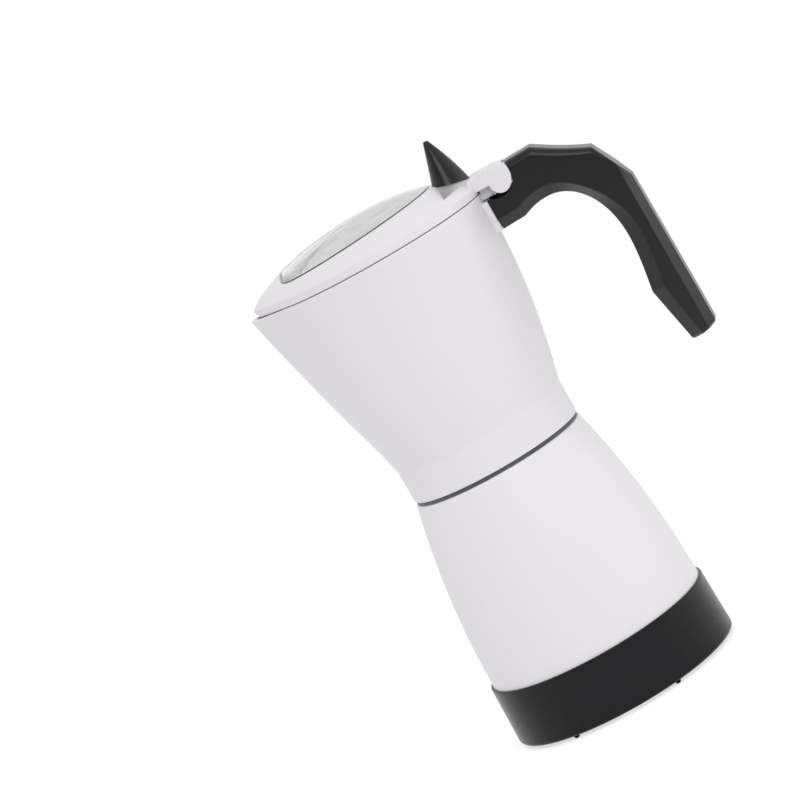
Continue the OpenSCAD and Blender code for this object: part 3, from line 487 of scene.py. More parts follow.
def joined(piece: Piece, tool: Piece, how: Join) -> None:
    """Combine a piece with a tool, and remove the tool.

    Args:
        piece: Piece that is kept.
        tool: Piece that is used up.
        how: Way to combine them.
    """
    modifier = piece.modifiers.new(how.name, "BOOLEAN")
    modifier.operation = how.value
    modifier.object = tool
    modifier.solver = "EXACT"
    applied(piece, modifier)
    bpy.data.objects.remove(tool, do_unlink=True)


def rounded(piece: Piece, width: float, steps: int = 2, angle: float = 35.0) -> None:
    """Round the edges of a piece that are sharper than an angle.

    Args:
        piece: Piece to round.
        width: Width of the rounding.
        steps: Number of its steps.
        angle: Least angle of an edge that is rounded, in degrees.
    """
    modifier = piece.modifiers.new("rounding", "BEVEL")
    modifier.width = width
    modifier.segments = steps
    modifier.limit_method = "ANGLE"
    modifier.angle_limit = math.radians(angle)
    applied(piece, modifier)


def smoothed(piece: Piece, angle: float = 32.0) -> None:
    """Shade a piece smooth, apart from its sharp edges.

    Args:
        piece: Piece to shade.
        angle: Least angle of an edge that stays sharp, in degrees.
    """
    pick(piece)
    bpy.ops.object.shade_smooth_by_angle(angle=math.radians(angle))
    modifier = piece.modifiers.new("shading", "WEIGHTED_NORMAL")
    modifier.keep_sharp = True
    applied(piece, modifier)


# Range of the noise that wear follows, and how much finer wear is than the patches of colour
WEAR_RANGE = (0.2, 0.8)
WEAR_FINER = 4
PATCH_DETAIL = 3.0
FINE_DETAIL = 2.0


class Lay(Enum):
    """How the fine marks of a finish run."""

    EVEN = "even"
    TURNED = "turned"


@dataclass(frozen=True)
class Finish:
    """A surface finish.

    Attributes:
        colour: Base colour, linear.
        rough: Mean roughness.
        metal: Share of metal.
        shine: Strength of the plain reflection.
        mottle: Share by which the colour varies.
        mottle_size: Size of the patches of colour.
        grain_size: Size of the fine marks.
        grain_depth: Depth of the fine marks.
        rough_swing: Range of the roughness either way.
        clear: Share of light that passes through.
        bend: Refractive index.
        lay: How the fine marks run.
    """

    colour: Colour
    rough: float
    metal: float = 0.0
    shine: float = 0.5
    mottle: float = 0.03
    mottle_size: float = 0.014
    grain_size: float = 0.0006
    grain_depth: float = 0.000004
    rough_swing: float = 0.05
    clear: float = 0.0
    bend: float = 1.5
    lay: Lay = Lay.EVEN

    def material(self, name: str) -> bpy.types.Material:
        """Node material of the finish.

        Args:
            name: Name of the material.

        Returns:
            The material.
        """
        made = bpy.data.materials.new(name)
        made.use_nodes = True
        nodes, links = made.node_tree.nodes, made.node_tree.links
        shader = nodes["Principled BSDF"]
        shader.inputs["Metallic"].default_value = self.metal
        shader.inputs["Specular IOR Level"].default_value = self.shine
        shader.inputs["IOR"].default_value = self.bend
        shader.inputs["Transmission Weight"].default_value = self.clear
        place = self._place(nodes, links)
        patches = self._noise(nodes, links, place, self.mottle_size, PATCH_DETAIL)
        tint = nodes.new("ShaderNodeMix")
        tint.data_type = "RGBA"
        tint.inputs["A"].default_value = (*[c * (1 - self.mottle) for c in self.colour], 1)
        tint.inputs["B"].default_value = (*[min(1.0, c * (1 + self.mottle)) for c in self.colour], 1)
        links.new(patches, tint.inputs["Factor"])
        links.new(tint.outputs["Result"], shader.inputs["Base Color"])
        shader.inputs["Roughness"].default_value = self.rough
        if self.rough_swing:
            wear = nodes.new("ShaderNodeMapRange")
            wear.inputs["From Min"].default_value, wear.inputs["From Max"].default_value = WEAR_RANGE
            wear.inputs["To Min"].default_value = max(0.0, self.rough - self.rough_swing)
            wear.inputs["To Max"].default_value = self.rough + self.rough_swing
            marks = self._noise(nodes, links, place, self.mottle_size / WEAR_FINER, FINE_DETAIL)
            links.new(marks, wear.inputs["Value"])
            links.new(wear.outputs["Result"], shader.inputs["Roughness"])
        if self.grain_depth:
            bump = nodes.new("ShaderNodeBump")
            bump.inputs["Distance"].default_value = self.grain_depth
            grain = self._noise(nodes, links, place, self.grain_size, FINE_DETAIL)
            links.new(grain, bump.inputs["Height"])
            links.new(bump.outputs["Normal"], shader.inputs["Normal"])
        return made

    def _place(self, nodes: Nodes, links: Links) -> Socket:
        """Socket with the place that the patterns are read at.

        Args:
            nodes: Nodes of the material.
            links: Links of the material.

        Returns:
            Object coordinates, or distance from the axis and height where the marks run round.
        """
        place = nodes.new("ShaderNodeTexCoord").outputs["Object"]
        if self.lay is Lay.EVEN:
            return place
        parts = nodes.new("ShaderNodeSeparateXYZ")
        links.new(place, parts.inputs["Vector"])
        flat = nodes.new("ShaderNodeCombineXYZ")
        links.new(parts.outputs["X"], flat.inputs["X"])
        links.new(parts.outputs["Y"], flat.inputs["Y"])
        reach = nodes.new("ShaderNodeVectorMath")
        reach.operation = "LENGTH"
        links.new(flat.outputs["Vector"], reach.inputs[0])
        rings = nodes.new("ShaderNodeCombineXYZ")
        links.new(reach.outputs["Value"], rings.inputs["X"])
        links.new(parts.outputs["Z"], rings.inputs["Z"])
        return rings.outputs["Vector"]

    @staticmethod
    def _noise(nodes: Nodes, links: Links, place: Socket, size: float, detail: float) -> Socket:
        """Socket with noise of one size.

        Args:
            nodes: Nodes of the material.
            links: Links of the material.
            place: Socket with the place.
            size: Size of the noise's patches.
            detail: Detail of the noise.

        Returns:
            The noise's value.
        """
        noise = nodes.new("ShaderNodeTexNoise")
        noise.inputs["Scale"].default_value = 1 / size
        noise.inputs["Detail"].default_value = detail
        links.new(place, noise.inputs["Vector"])
        return noise.outputs["Fac"]


FINISHES = {
    "painted_white": Finish((0.765, 0.745, 0.772), 0.4, mottle=0.004, mottle_size=0.05, rough_swing=0.012,
                            grain_size=0.0009, grain_depth=0.0000012),
    # black_plastic and the shinier, darker copy below are one black plastic: black_plastic reflects
    # little, as painted shade, so that the base doesn't show the bright floor near it; the shinier copy
    # gives the handle and the knob a painted highlight along their edges.
    "black_plastic": Finish((0.0098, 0.0085, 0.0102), 0.28, shine=0.16, mottle=0.1, mottle_size=0.005,
                            rough_swing=0.03, grain_size=0.0003, grain_depth=0.000005),
    "shinier_black_plastic": Finish((0.0085, 0.0074, 0.0089), 0.3, shine=0.4, mottle=0.1, mottle_size=0.005,
                           rough_swing=0.03, grain_size=0.0003, grain_depth=0.000004),
    "socket_plastic": Finish((0.03, 0.03, 0.032), 0.5, mottle=0.1, grain_depth=0.00001),
    # Also put on the handle's notch as painted shade, where its lack of reflection darkens the recess.
    "rubber": Finish((0.014, 0.013, 0.0145), 0.75, shine=0.0, mottle=0.15, grain_depth=0.00001),
    "seam_ring": Finish((0.07, 0.07, 0.075), 0.45, mottle=0.06, grain_depth=0.000006),
    "clear_plastic": Finish((0.95, 0.945, 0.955), 0.1, mottle=0.01, rough_swing=0.0, grain_depth=0.0,
                            clear=1.0, bend=1.49),
    "window_seal": Finish((0.3, 0.3, 0.31), 0.6, mottle=0.06),
    "silicone": Finish((0.72, 0.71, 0.67), 0.5, mottle=0.04, grain_size=0.001),
    "screw_steel": Finish((0.5, 0.5, 0.52), 0.32, metal=1.0, mottle=0.06, grain_size=0.0003),
    "spring_steel": Finish((0.45, 0.45, 0.47), 0.28, metal=1.0, mottle=0.05, grain_size=0.0003),
    "sheet_steel": Finish((0.62, 0.62, 0.63), 0.26, metal=1.0, mottle=0.04, grain_size=0.00025,
                          lay=Lay.TURNED),
    "bare_aluminium": Finish((0.56, 0.56, 0.58), 0.3, metal=1.0, mottle=0.06, grain_size=0.00022,
                             grain_depth=0.000006, lay=Lay.TURNED),
    # The chamber's inside is the same bare aluminium as bare_aluminium, made lighter as painted light, so
    # that it looks bright through the window.
    "lightened_bare_aluminium": Finish((0.78, 0.78, 0.79), 0.4, metal=1.0, mottle=0.06, grain_size=0.00022,
                             grain_depth=0.000006, lay=Lay.TURNED),
    "heater_sheath": Finish((0.2, 0.19, 0.18), 0.5, metal=0.8, mottle=0.25, mottle_size=0.006),
    "phenolic": Finish((0.17, 0.08, 0.045), 0.45, mottle=0.12, mottle_size=0.003),
    "brass": Finish((0.66, 0.47, 0.2), 0.26, metal=1.0, mottle=0.07, mottle_size=0.004, grain_size=0.0003),
    "wire_insulation": Finish((0.55, 0.16, 0.08), 0.5, mottle=0.06),
}


def faces_axis(face: Face) -> bool:
    """Whether a face looks toward the pot's axis."""
    outward = Vector((face.center.x, face.center.y, 0)).normalized()
    return face.normal.dot(outward) < INWARD


class Paintbox:
    """Materials of the pot, one for each finish."""

    def __init__(self) -> None:
        """Build a material for each finish."""
        self.materials = {name: finish.material(name) for name, finish in FINISHES.items()}

    def coat(self, piece: Piece, finish: str) -> None:
        """Give a piece a finish as its only material."""
        piece.data.materials.clear()
        piece.data.materials.append(self.materials[finish])

    def line(self, piece: Piece, finish: str, bare: Callable[[Face], bool]) -> None:
        """Give some faces of a piece another finish.

        Args:
            piece: Piece that has its own finish.
            finish: Name of the other finish.
            bare: Test that is true for the faces that get it.
        """
        piece.data.materials.append(self.materials[finish])
        for face in piece.data.polygons:
            if bare(face):
                face.material_index = 1

    def install(self, piece: Piece, node: str, slot: str, finish: str = "") -> None:
        """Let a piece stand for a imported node, on that node's body.

        Args:
            piece: Finished piece.
            node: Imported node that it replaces.
            slot: Its slot in the record.
            finish: Its finish, where that isn't the slot's own.
        """
        self.coat(piece, finish or slot)
        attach(piece, frame["nodes"][node]["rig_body"])
        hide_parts(node)
        LOG.info("%s stands for %s in %s, %d faces", piece.name, node, slot, len(piece.data.polygons))

    def coat_packed(self) -> None:
        """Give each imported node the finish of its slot."""
        for part in frame["record"]["subparts"]:
            self.coat(frame["nodes"][part["node"]], part["material_slot"])


@dataclass
class Base:
    """Black ring under the boiler, with its feet.

    Attributes:
        draft: How much narrower the ring is at its top.
        wall: Wall of the ring.
        foot_round: Rounding of its lower edge.
        top_round: Rounding of its upper edge.
        ledge_r: Radius of the ledge's bore.
        ledge_t: Thickness of the ledge that the boiler stands on.
        boiler_r: Radius of the boiler's foot.
        foot_count: Number of feet.
        foot_r: Radius of a foot.
        foot_tip: Rounding of a foot's lower edge.
        foot_steps: Number of steps round a foot.
    """

    draft: float = 0.0006
    wall: float = 0.0024
    foot_round: float = 0.0016
    top_round: float = 0.0006
    ledge_r: float = 0.041
    ledge_t: float = 0.0025
    boiler_r: float = 0.0491
    foot_count: int = 6
    foot_r: float = 0.0016
    foot_tip: float = 0.0005
    foot_steps: int = 24

    def ring(self) -> Piece:
        """Turn the ring, with a rounded lower edge and a soft upper one.

        Returns:
            The ring.
        """
        low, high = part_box("base_ring")
        cover_low, cover_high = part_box("bottom_cover")
        top_r = high.y - self.draft
        in_r = top_r - self.wall
        seat_r = self.boiler_r + SEAT_GAP
        rebate_r = cover_high.y + SEAT_GAP
        seat, ledge = LEVEL.boiler_foot, LEVEL.boiler_foot - self.ledge_t
        profile = arc((high.y - self.foot_round, low.z + self.foot_round), self.foot_round, -90, 0, 8)
        profile += arc((top_r - self.top_round, high.z - self.top_round), self.top_round, 0, 90, 6)
        profile += [(seat_r, high.z), (seat_r, seat), (self.ledge_r, seat), (self.ledge_r, ledge),
                    (in_r, ledge), (in_r, cover_high.z), (rebate_r, cover_high.z), (rebate_r, cover_low.z)]
        piece = turned("base_shell", profile)
        smoothed(piece)
        return piece

    def feet(self) -> Piece:
        """Turn the pips under the cover, with rounded tips, and join them.

        Returns:
            All the pips as one piece.
        """
        low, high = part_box("feet")
        cover_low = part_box("bottom_cover")[0].z
        tip_r = self.foot_r - 2 * self.foot_tip
        profile = [(0.0, low.z)] + arc((tip_r, low.z + self.foot_tip), self.foot_tip, -90, 0, 4)
        profile += [(self.foot_r, cover_low), (0.0, cover_low)]
        pips = []
        for i in range(self.foot_count):
            pip = turned(f"pip_{i}", profile, closed=False, steps=self.foot_steps)
            spin = Matrix.Rotation(math.tau * i / self.foot_count, 4, "Z")
            pip.data.transform(spin @ Matrix.Translation((high.x - self.foot_r, 0, 0)))
            smoothed(pip)
            pips.append(pip)
        bpy.ops.object.select_all(action="DESELECT")
        for pip in pips:
            pip.select_set(True)
        bpy.context.view_layer.objects.active = pips[0]
        bpy.ops.object.join()
        return named("feet_pips")

    def build(self, paints: Paintbox) -> None:
        """Model and dress the base."""
        # The base takes the black plastic that reflects little, as painted shade of the floor's
        # reflection.
        paints.install(self.ring(), "base_ring", "black_plastic")
        paints.install(self.feet(), "feet", "rubber")


@dataclass
class Boiler:
    """White water vessel with its screwed neck and the valve's pad.

    Attributes:
        foot_r: Radius where it leaves the base.
        shoulder_r: Radius at the shoulder.
        swell: How far the side swells past a straight cone.
        shoulder_round: Rounding of the shoulder.
        wall: Thickness of the side.
        floor: Thickness of the floor.
        corner: Rounding between floor and side.
        neck_r: Radius of the neck.
        neck_wall: Wall of the neck.
        neck_chamfer: Chamfer at the top of the neck.
        under: Depth of the slope under the shoulder.
        pad_r: Radius of the valve's pad.
        pad_l: Length of the valve's pad.
        pad_round: Rounding of the pad's edges.
        shank_r: Radius of the valve's hole.
        pitch: Pitch of the thread.
        thread_turns: Turns of the thread.
        thread_h: Height of the thread's ridge over the neck.
        thread_steps: Number of steps in a turn of the thread.
        ridge: Shares of the pitch from the ridge's middle to its foot and to its crest's edge.
    """

    foot_r: float = 0.0491
    shoulder_r: float = 0.039
    swell: float = 0.0024
    shoulder_round: float = 0.0012
    wall: float = 0.003
    floor: float = 0.004
    corner: float = 0.003
    neck_r: float = 0.0335
    neck_wall: float = 0.0031
    neck_chamfer: float = 0.0006
    under: float = 0.002
    pad_r: float = 0.0074
    pad_l: float = 0.0055
    pad_round: float = 0.0005
    shank_r: float = 0.00405
    pitch: float = 0.003
    thread_turns: float = 2.5
    thread_h: float = 0.0003
    thread_steps: int = 96
    ridge: Point = (0.3, 0.08)

    def vessel(self) -> Piece:
        """Turn the vessel with its neck, and add the pad with the valve's hole.

        Returns:
            The vessel.
        """
        top = LEVEL.shoulder - self.shoulder_round
        side = Bulge((self.foot_r, LEVEL.base_top), (self.shoulder_r, top), self.swell)
        water = LEVEL.boiler_foot + self.floor
        in_top = LEVEL.shoulder - 4 * self.under
        inside = side.points(in_top, water + self.corner, 24, self.wall)
        bore = self.neck_r - self.neck_wall
        profile = [(0.0, LEVEL.boiler_foot), (self.foot_r, LEVEL.boiler_foot)]
        profile += side.points(LEVEL.base_top, top, 40)
        profile += arc((self.shoulder_r - self.shoulder_round, top), self.shoulder_round, 0, 90, 6)[1:]
        profile += [(self.neck_r, LEVEL.shoulder), (self.neck_r, LEVEL.neck_top - self.neck_chamfer),
                    (self.neck_r - self.neck_chamfer, LEVEL.neck_top), (bore, LEVEL.neck_top),
                    (bore, LEVEL.shoulder - self.under)] + inside
        profile += arc((inside[-1][0] - self.corner, water + self.corner), self.corner, 0, -90, 6)[1:]
        profile += [(0.0, water)]
        piece = turned("boiler_vessel", profile, closed=False)
        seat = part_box("valve_washer")[0].y
        level = sum(corner.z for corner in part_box("valve_washer")) / 2
        pad = rod("pad", (0, seat - self.pad_l, level), (0, self.pad_l, 0), self.pad_r)
        rounded(pad, self.pad_round)
        joined(piece, pad, Join.ADD)
        hole = rod("hole", (0, seat - 2 * self.pad_l, level), (0, 3 * self.pad_l, 0), self.shank_r)
        joined(piece, hole, Join.CUT)
        smoothed(piece)
        return piece

    def is_bare(self, face: Face) -> bool:
        """Whether a face is unpainted: the neck, the inside and the floor under the water.

        Args:
            face: Face of the vessel.

        Returns:
            True for a face that shows bare metal.
        """
        water = LEVEL.boiler_foot + self.floor
        on_floor = face.normal.z > LEVEL_FACE and face.center.z < water + self.corner
        return face.center.z > LEVEL.shoulder + FIT_GAP or faces_axis(face) or on_floor

    def thread(self) -> Piece:
        """Wind the ridge of the thread round the neck.

        Returns:
            The ridge.
        """
        start = LEVEL.shoulder + self.pitch / 2
        root, crest = self.neck_r - self.thread_h, self.neck_r + self.thread_h
        foot, edge = (self.pitch * share for share in self.ridge)
        ridge = [(root, start - foot), (crest, start - edge), (crest, start + edge), (root, start + foot)]
        piece = trace("neck_thread", [Vector((r, 0, z)) for r, z in ridge])
        wound(piece, "Z", self.thread_turns, self.pitch * self.thread_turns, self.thread_steps)
        smoothed(piece)
        return piece

    def build(self, paints: Paintbox) -> None:
        """Model and dress the boiler.

        Args:
            paints: Materials of the pot.
        """
        vessel = self.vessel()
        paints.install(vessel, "boiler", "painted_white")
        paints.line(vessel, "bare_aluminium", self.is_bare)
        thread = self.thread()
        paints.coat(thread, "bare_aluminium")
        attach(thread, "boiler_body")


@dataclass
class Valve:
    """Coil spring of the safety valve, wound at its length at rest; the real spring shortens as the stem
    lifts.

    Attributes:
        wire_r: Radius of the wire.
        wire_sides: Number of sides of the wire.
        coil_r: Radius of the coil at the middle of the wire.
        turns: Number of turns.
        turn_steps: Number of steps in a turn.
    """

    wire_r: float = 0.0003
    wire_sides: int = 12
    coil_r: float = 0.002
    turns: int = 5
    turn_steps: int = 32

    def ends(self) -> tuple[Vector, Vector]:
        """Ends of the coil's middle line.

        Returns:
            Its end at the stem's disc, and its end at the body's lip.
        """
        low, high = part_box("valve_spring")
        level = (low.z + high.z) / 2
        return Vector((0, low.y + self.wire_r, level)), Vector((0, high.y - self.wire_r, level))

    def coil(self) -> Piece:
        """Wind the wire.

        Returns:
            The wire, closed at both ends.
        """
        near, far = self.ends()
        wire = arc((self.coil_r, 0.0), self.wire_r, 0, 360, self.wire_sides)[1:]
        piece = trace("spring_coil", [Vector((x, y, 0)) for x, y in wire])
        wound(piece, "Y", self.turns, (far - near).length, self.turn_steps)
        piece.data.transform(Matrix.Translation(near))
        smoothed(piece)
        return piece

    def build(self, paints: Paintbox) -> None:
        """Model and dress the spring, and let it reach from the body to the stem.

        Args:
            paints: Materials of the pot.
        """
        coil = self.coil()
        paints.coat(coil, "spring_steel")
        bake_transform(coil)
        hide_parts("valve_spring")
        LOG.info("%s stands for valve_spring, %d faces", coil.name, len(coil.data.polygons))


@dataclass
class Seam:
    """Dark ring in the seam between boiler and chamber.

    Attributes:
        bore: Radius of its bore.
        edge: Rounding of its edges.
    """

    bore: float = 0.0339
    edge: float = 0.0004

    def build(self, paints: Paintbox) -> None:
        """Model and dress the ring.

        Args:
            paints: Materials of the pot.
        """
        low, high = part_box("neck_ring")
        top = high.z - SEAT_GAP
        profile = arc((high.y - self.edge, low.z + self.edge), self.edge, -90, 0, 4)
        profile += arc((high.y - self.edge, top - self.edge), self.edge, 0, 90, 4)
        profile += [(self.bore, top), (self.bore, low.z)]
        piece = turned("seam_band", profile)
        smoothed(piece)
        paints.install(piece, "neck_ring", "seam_ring")


@dataclass
class Chamber:
    """White pouring chamber with its beak, hinge lug and handle boss.

    Attributes:
        band_r: Radius of the band above the seam.
        band_h: Height of that band.
        band_chamfer: Rounding of the band's lower edge.
        flare_soft: Half the height over which band and side blend.
        height: Height from the seam to the rim.
        rim_r: Radius at the rim.
        swell: How far the side swells past a straight cone.
        wall: Thickness of the wall.
        floor: Thickness of the floor.
        floor_corner: Rounding between floor and wall.
        rim_round: Rounding of the rim.
        beak_r: Distance from the axis to the beak's tip.
        beak_power: How late the beak grows with height.
        socket_r: Radius of the socket for the neck.
        column_r: Radius of the riser's hole.
        width: Width of the boss.
        merge: How far additions run into the wall.
        boss_out: How far the boss stands out from the rim.
        boss_drop: Depth of the boss's foot below the rim.
        boss_h: Height of the boss.
        boss_round: Rounding of the boss's edges.
        lug_w: Width of the hinge lug.
        lug_r: Radius of the lug's head.
        lug_t: Depth of the lug's neck below the rim.
        lug_web: How far the lug's web lies below the pin and outside the rim.
        lug_round: Rounding of the lug's edges.
        pin_r: Radius of the hinge pin.
        tongue: Length, width and height of the tongue in the handle.
    """

    band_r: float = 0.03865
    band_h: float = 0.0147
    band_chamfer: float = 0.0006
    flare_soft: float = 0.0016
    height: float = 0.0985
    rim_r: float = 0.04865
    swell: float = 0.00285
    wall: float = 0.0026
    floor: float = 0.0036
    floor_corner: float = 0.002
    rim_round: float = 0.0005
    beak_r: float = 0.0602
    beak_power: float = 1.65
    socket_r: float = 0.0339
    column_r: float = 0.00645
    width: float = 0.018
    merge: float = 0.0004
    boss_out: float = 0.0017
    boss_drop: float = 0.0173
    boss_h: float = 0.0136
    boss_round: float = 0.0005
    lug_w: float = 0.0086
    lug_r: float = 0.0034
    lug_t: float = 0.0032
    lug_web: float = 0.0004
    lug_round: float = 0.0003
    pin_r: float = 0.0015
    tongue: tuple[float, float, float] = (0.0125, 0.0084, 0.0064)

    @property
    def flare(self) -> float:
        """Height at which the side starts to widen."""
        return LEVEL.seam_top + self.band_h

    @property
    def rim(self) -> float:
        """Height of the rim."""
        return LEVEL.seam_top + self.height

    @property
    def boss_x(self) -> float:
        """Distance from the axis to the boss's face."""
        return self.rim_r + self.boss_out

    @property
    def side(self) -> Bulge:
        """Side from the band to the rim."""
        return Bulge((self.band_r, self.flare), (self.rim_r, self.rim), self.swell)

    @property
    def hinge(self) -> Vector:
        """Middle of the lid's hinge pin."""
        joint = next(j for j in frame["joints"] if j["name"] == "lid_hinge")
        return Vector(joint["pos_m"])

    def profile(self) -> Outline:
        """Draw half the section of the round chamber, before its beak is drawn out.

        Returns:
            Radius and height of each point.
        """
        side = self.side
        low, foot = LEVEL.seam_top, self.flare - self.flare_soft
        edge, chamfer = self.rim_round, self.band_chamfer
        turn = (self.band_r, self.flare)
        start = (side.reach(self.flare + self.flare_soft), self.flare + self.flare_soft)
        floor = LEVEL.ceiling + self.floor
        outer = side.points(start[1], self.rim - edge, 56)
        inner = side.points(self.rim - edge, floor + self.floor_corner, 48, self.wall)
        points = arc((self.band_r - chamfer, low + chamfer), chamfer, -90, 0, 5)
        points += bezier((self.band_r, foot), turn, turn, start, 8) + outer
        points += arc((outer[-1][0] - edge, self.rim - edge), edge, 0, 90, 5)[1:]
        points += arc((inner[0][0] + edge, self.rim - edge), edge, 90, 180, 5)[:-1] + inner
        points += arc((inner[-1][0] - self.floor_corner, floor + self.floor_corner), self.floor_corner,
                      0, -90, 6)[1:]
        points += [(self.column_r, floor), (self.column_r, LEVEL.ceiling), (self.socket_r, LEVEL.ceiling),
                   (self.socket_r, low)]
        return points

    def draw_out(self, piece: Piece) -> None:
        """Pull the wall of a round chamber out to its beak.

        Args:
            piece: The round chamber.
        """
        side = self.side
        for vertex in piece.data.vertices:
            share = (vertex.co.z - self.flare) / (self.rim - self.flare)
            reach = math.hypot(vertex.co.x, vertex.co.y)
            if share <= 0 or reach < self.band_r - 2 * self.wall:
                continue
            round_r = side.reach(min(vertex.co.z, self.rim))
            tip = round_r + (self.beak_r - self.rim_r) * share ** self.beak_power
            turn = math.atan2(vertex.co.y, vertex.co.x)
            grown = reach + BEAK.radius(round_r, tip, turn) - round_r
            vertex.co.x *= grown / reach
            vertex.co.y *= grown / reach

    def lug(self) -> Piece:
        """Cut the lug that carries the lid's pin.

        Returns:
            The lug.
        """
        x, z = self.hinge.x, self.hinge.z
        wall_x = self.rim_r - self.wall + self.merge
        outline = [(wall_x, self.rim - self.lug_t), (x + self.lug_r - self.merge, self.rim - self.lug_t)]
        web_x, web_z = self.rim_r + self.lug_web, z - self.lug_web
        outline += arc((x, z), self.lug_r, 0, 180, 16)
        outline += [(x - self.lug_r, web_z), (web_x, web_z), (web_x, self.rim), (wall_x, self.rim)]
        piece = slab("lug", outline, -self.lug_w / 2, self.lug_w / 2)
        rounded(piece, self.lug_round)
        return piece

    def boss(self) -> Piece:
        """Cut the boss that the handle stands against.

        Returns:
            The boss.
        """
        wall_x = self.rim_r - self.wall + self.merge
        half = self.width / 2 - self.merge
        low = self.rim - self.boss_drop
        piece = block("boss", (wall_x, -half, low), (self.boss_x, half, low + self.boss_h))
        rounded(piece, self.boss_round)
        return piece

    def body(self) -> Piece:
        """Turn the chamber, draw out its beak, and add lug, boss and tongue.

        Returns:
            The whole chamber.
        """
        piece = turned("chamber_body", self.profile())
        self.draw_out(piece)
        for part in (self.lug(), self.boss()):
            joined(piece, part, Join.ADD)
        length, width, height = self.tongue
        middle = self.rim - self.boss_drop + self.boss_h / 2
        tongue = block("tongue", (self.boss_x - SPECK, -width / 2, middle - height / 2),
                       (self.boss_x + length, width / 2, middle + height / 2))
        joined(piece, tongue, Join.ADD)
        hinge = self.hinge
        pin = rod("pin", (hinge.x, -self.width, hinge.z), (0, 2 * self.width, 0), self.pin_r + FIT_GAP)
        joined(piece, pin, Join.CUT)
        smoothed(piece)
        return piece

    def is_bare(self, face: Face) -> bool:
        """Whether a face is unpainted: the inside below the rim, and the floor.

        Args:
            face: Face of the chamber.

        Returns:
            True for a face that shows bare metal.
        """
        if face.center.z > self.rim - self.rim_round:
            return False
        reach = math.hypot(face.center.x, face.center.y)
        level = abs(face.normal.z) > LEVEL_FACE and reach < self.band_r - self.wall / 2
        return level or faces_axis(face)

    def build(self, paints: Paintbox) -> None:
        """Model and dress the chamber.

        Args:
            paints: Materials of the pot.
        """
        body = self.body()
        paints.install(body, "upper_chamber", "painted_white")
        # The chamber's inside takes the lighter copy of bare aluminium, as painted light seen through the
        # window.
        paints.line(body, "lightened_bare_aluminium", self.is_bare)


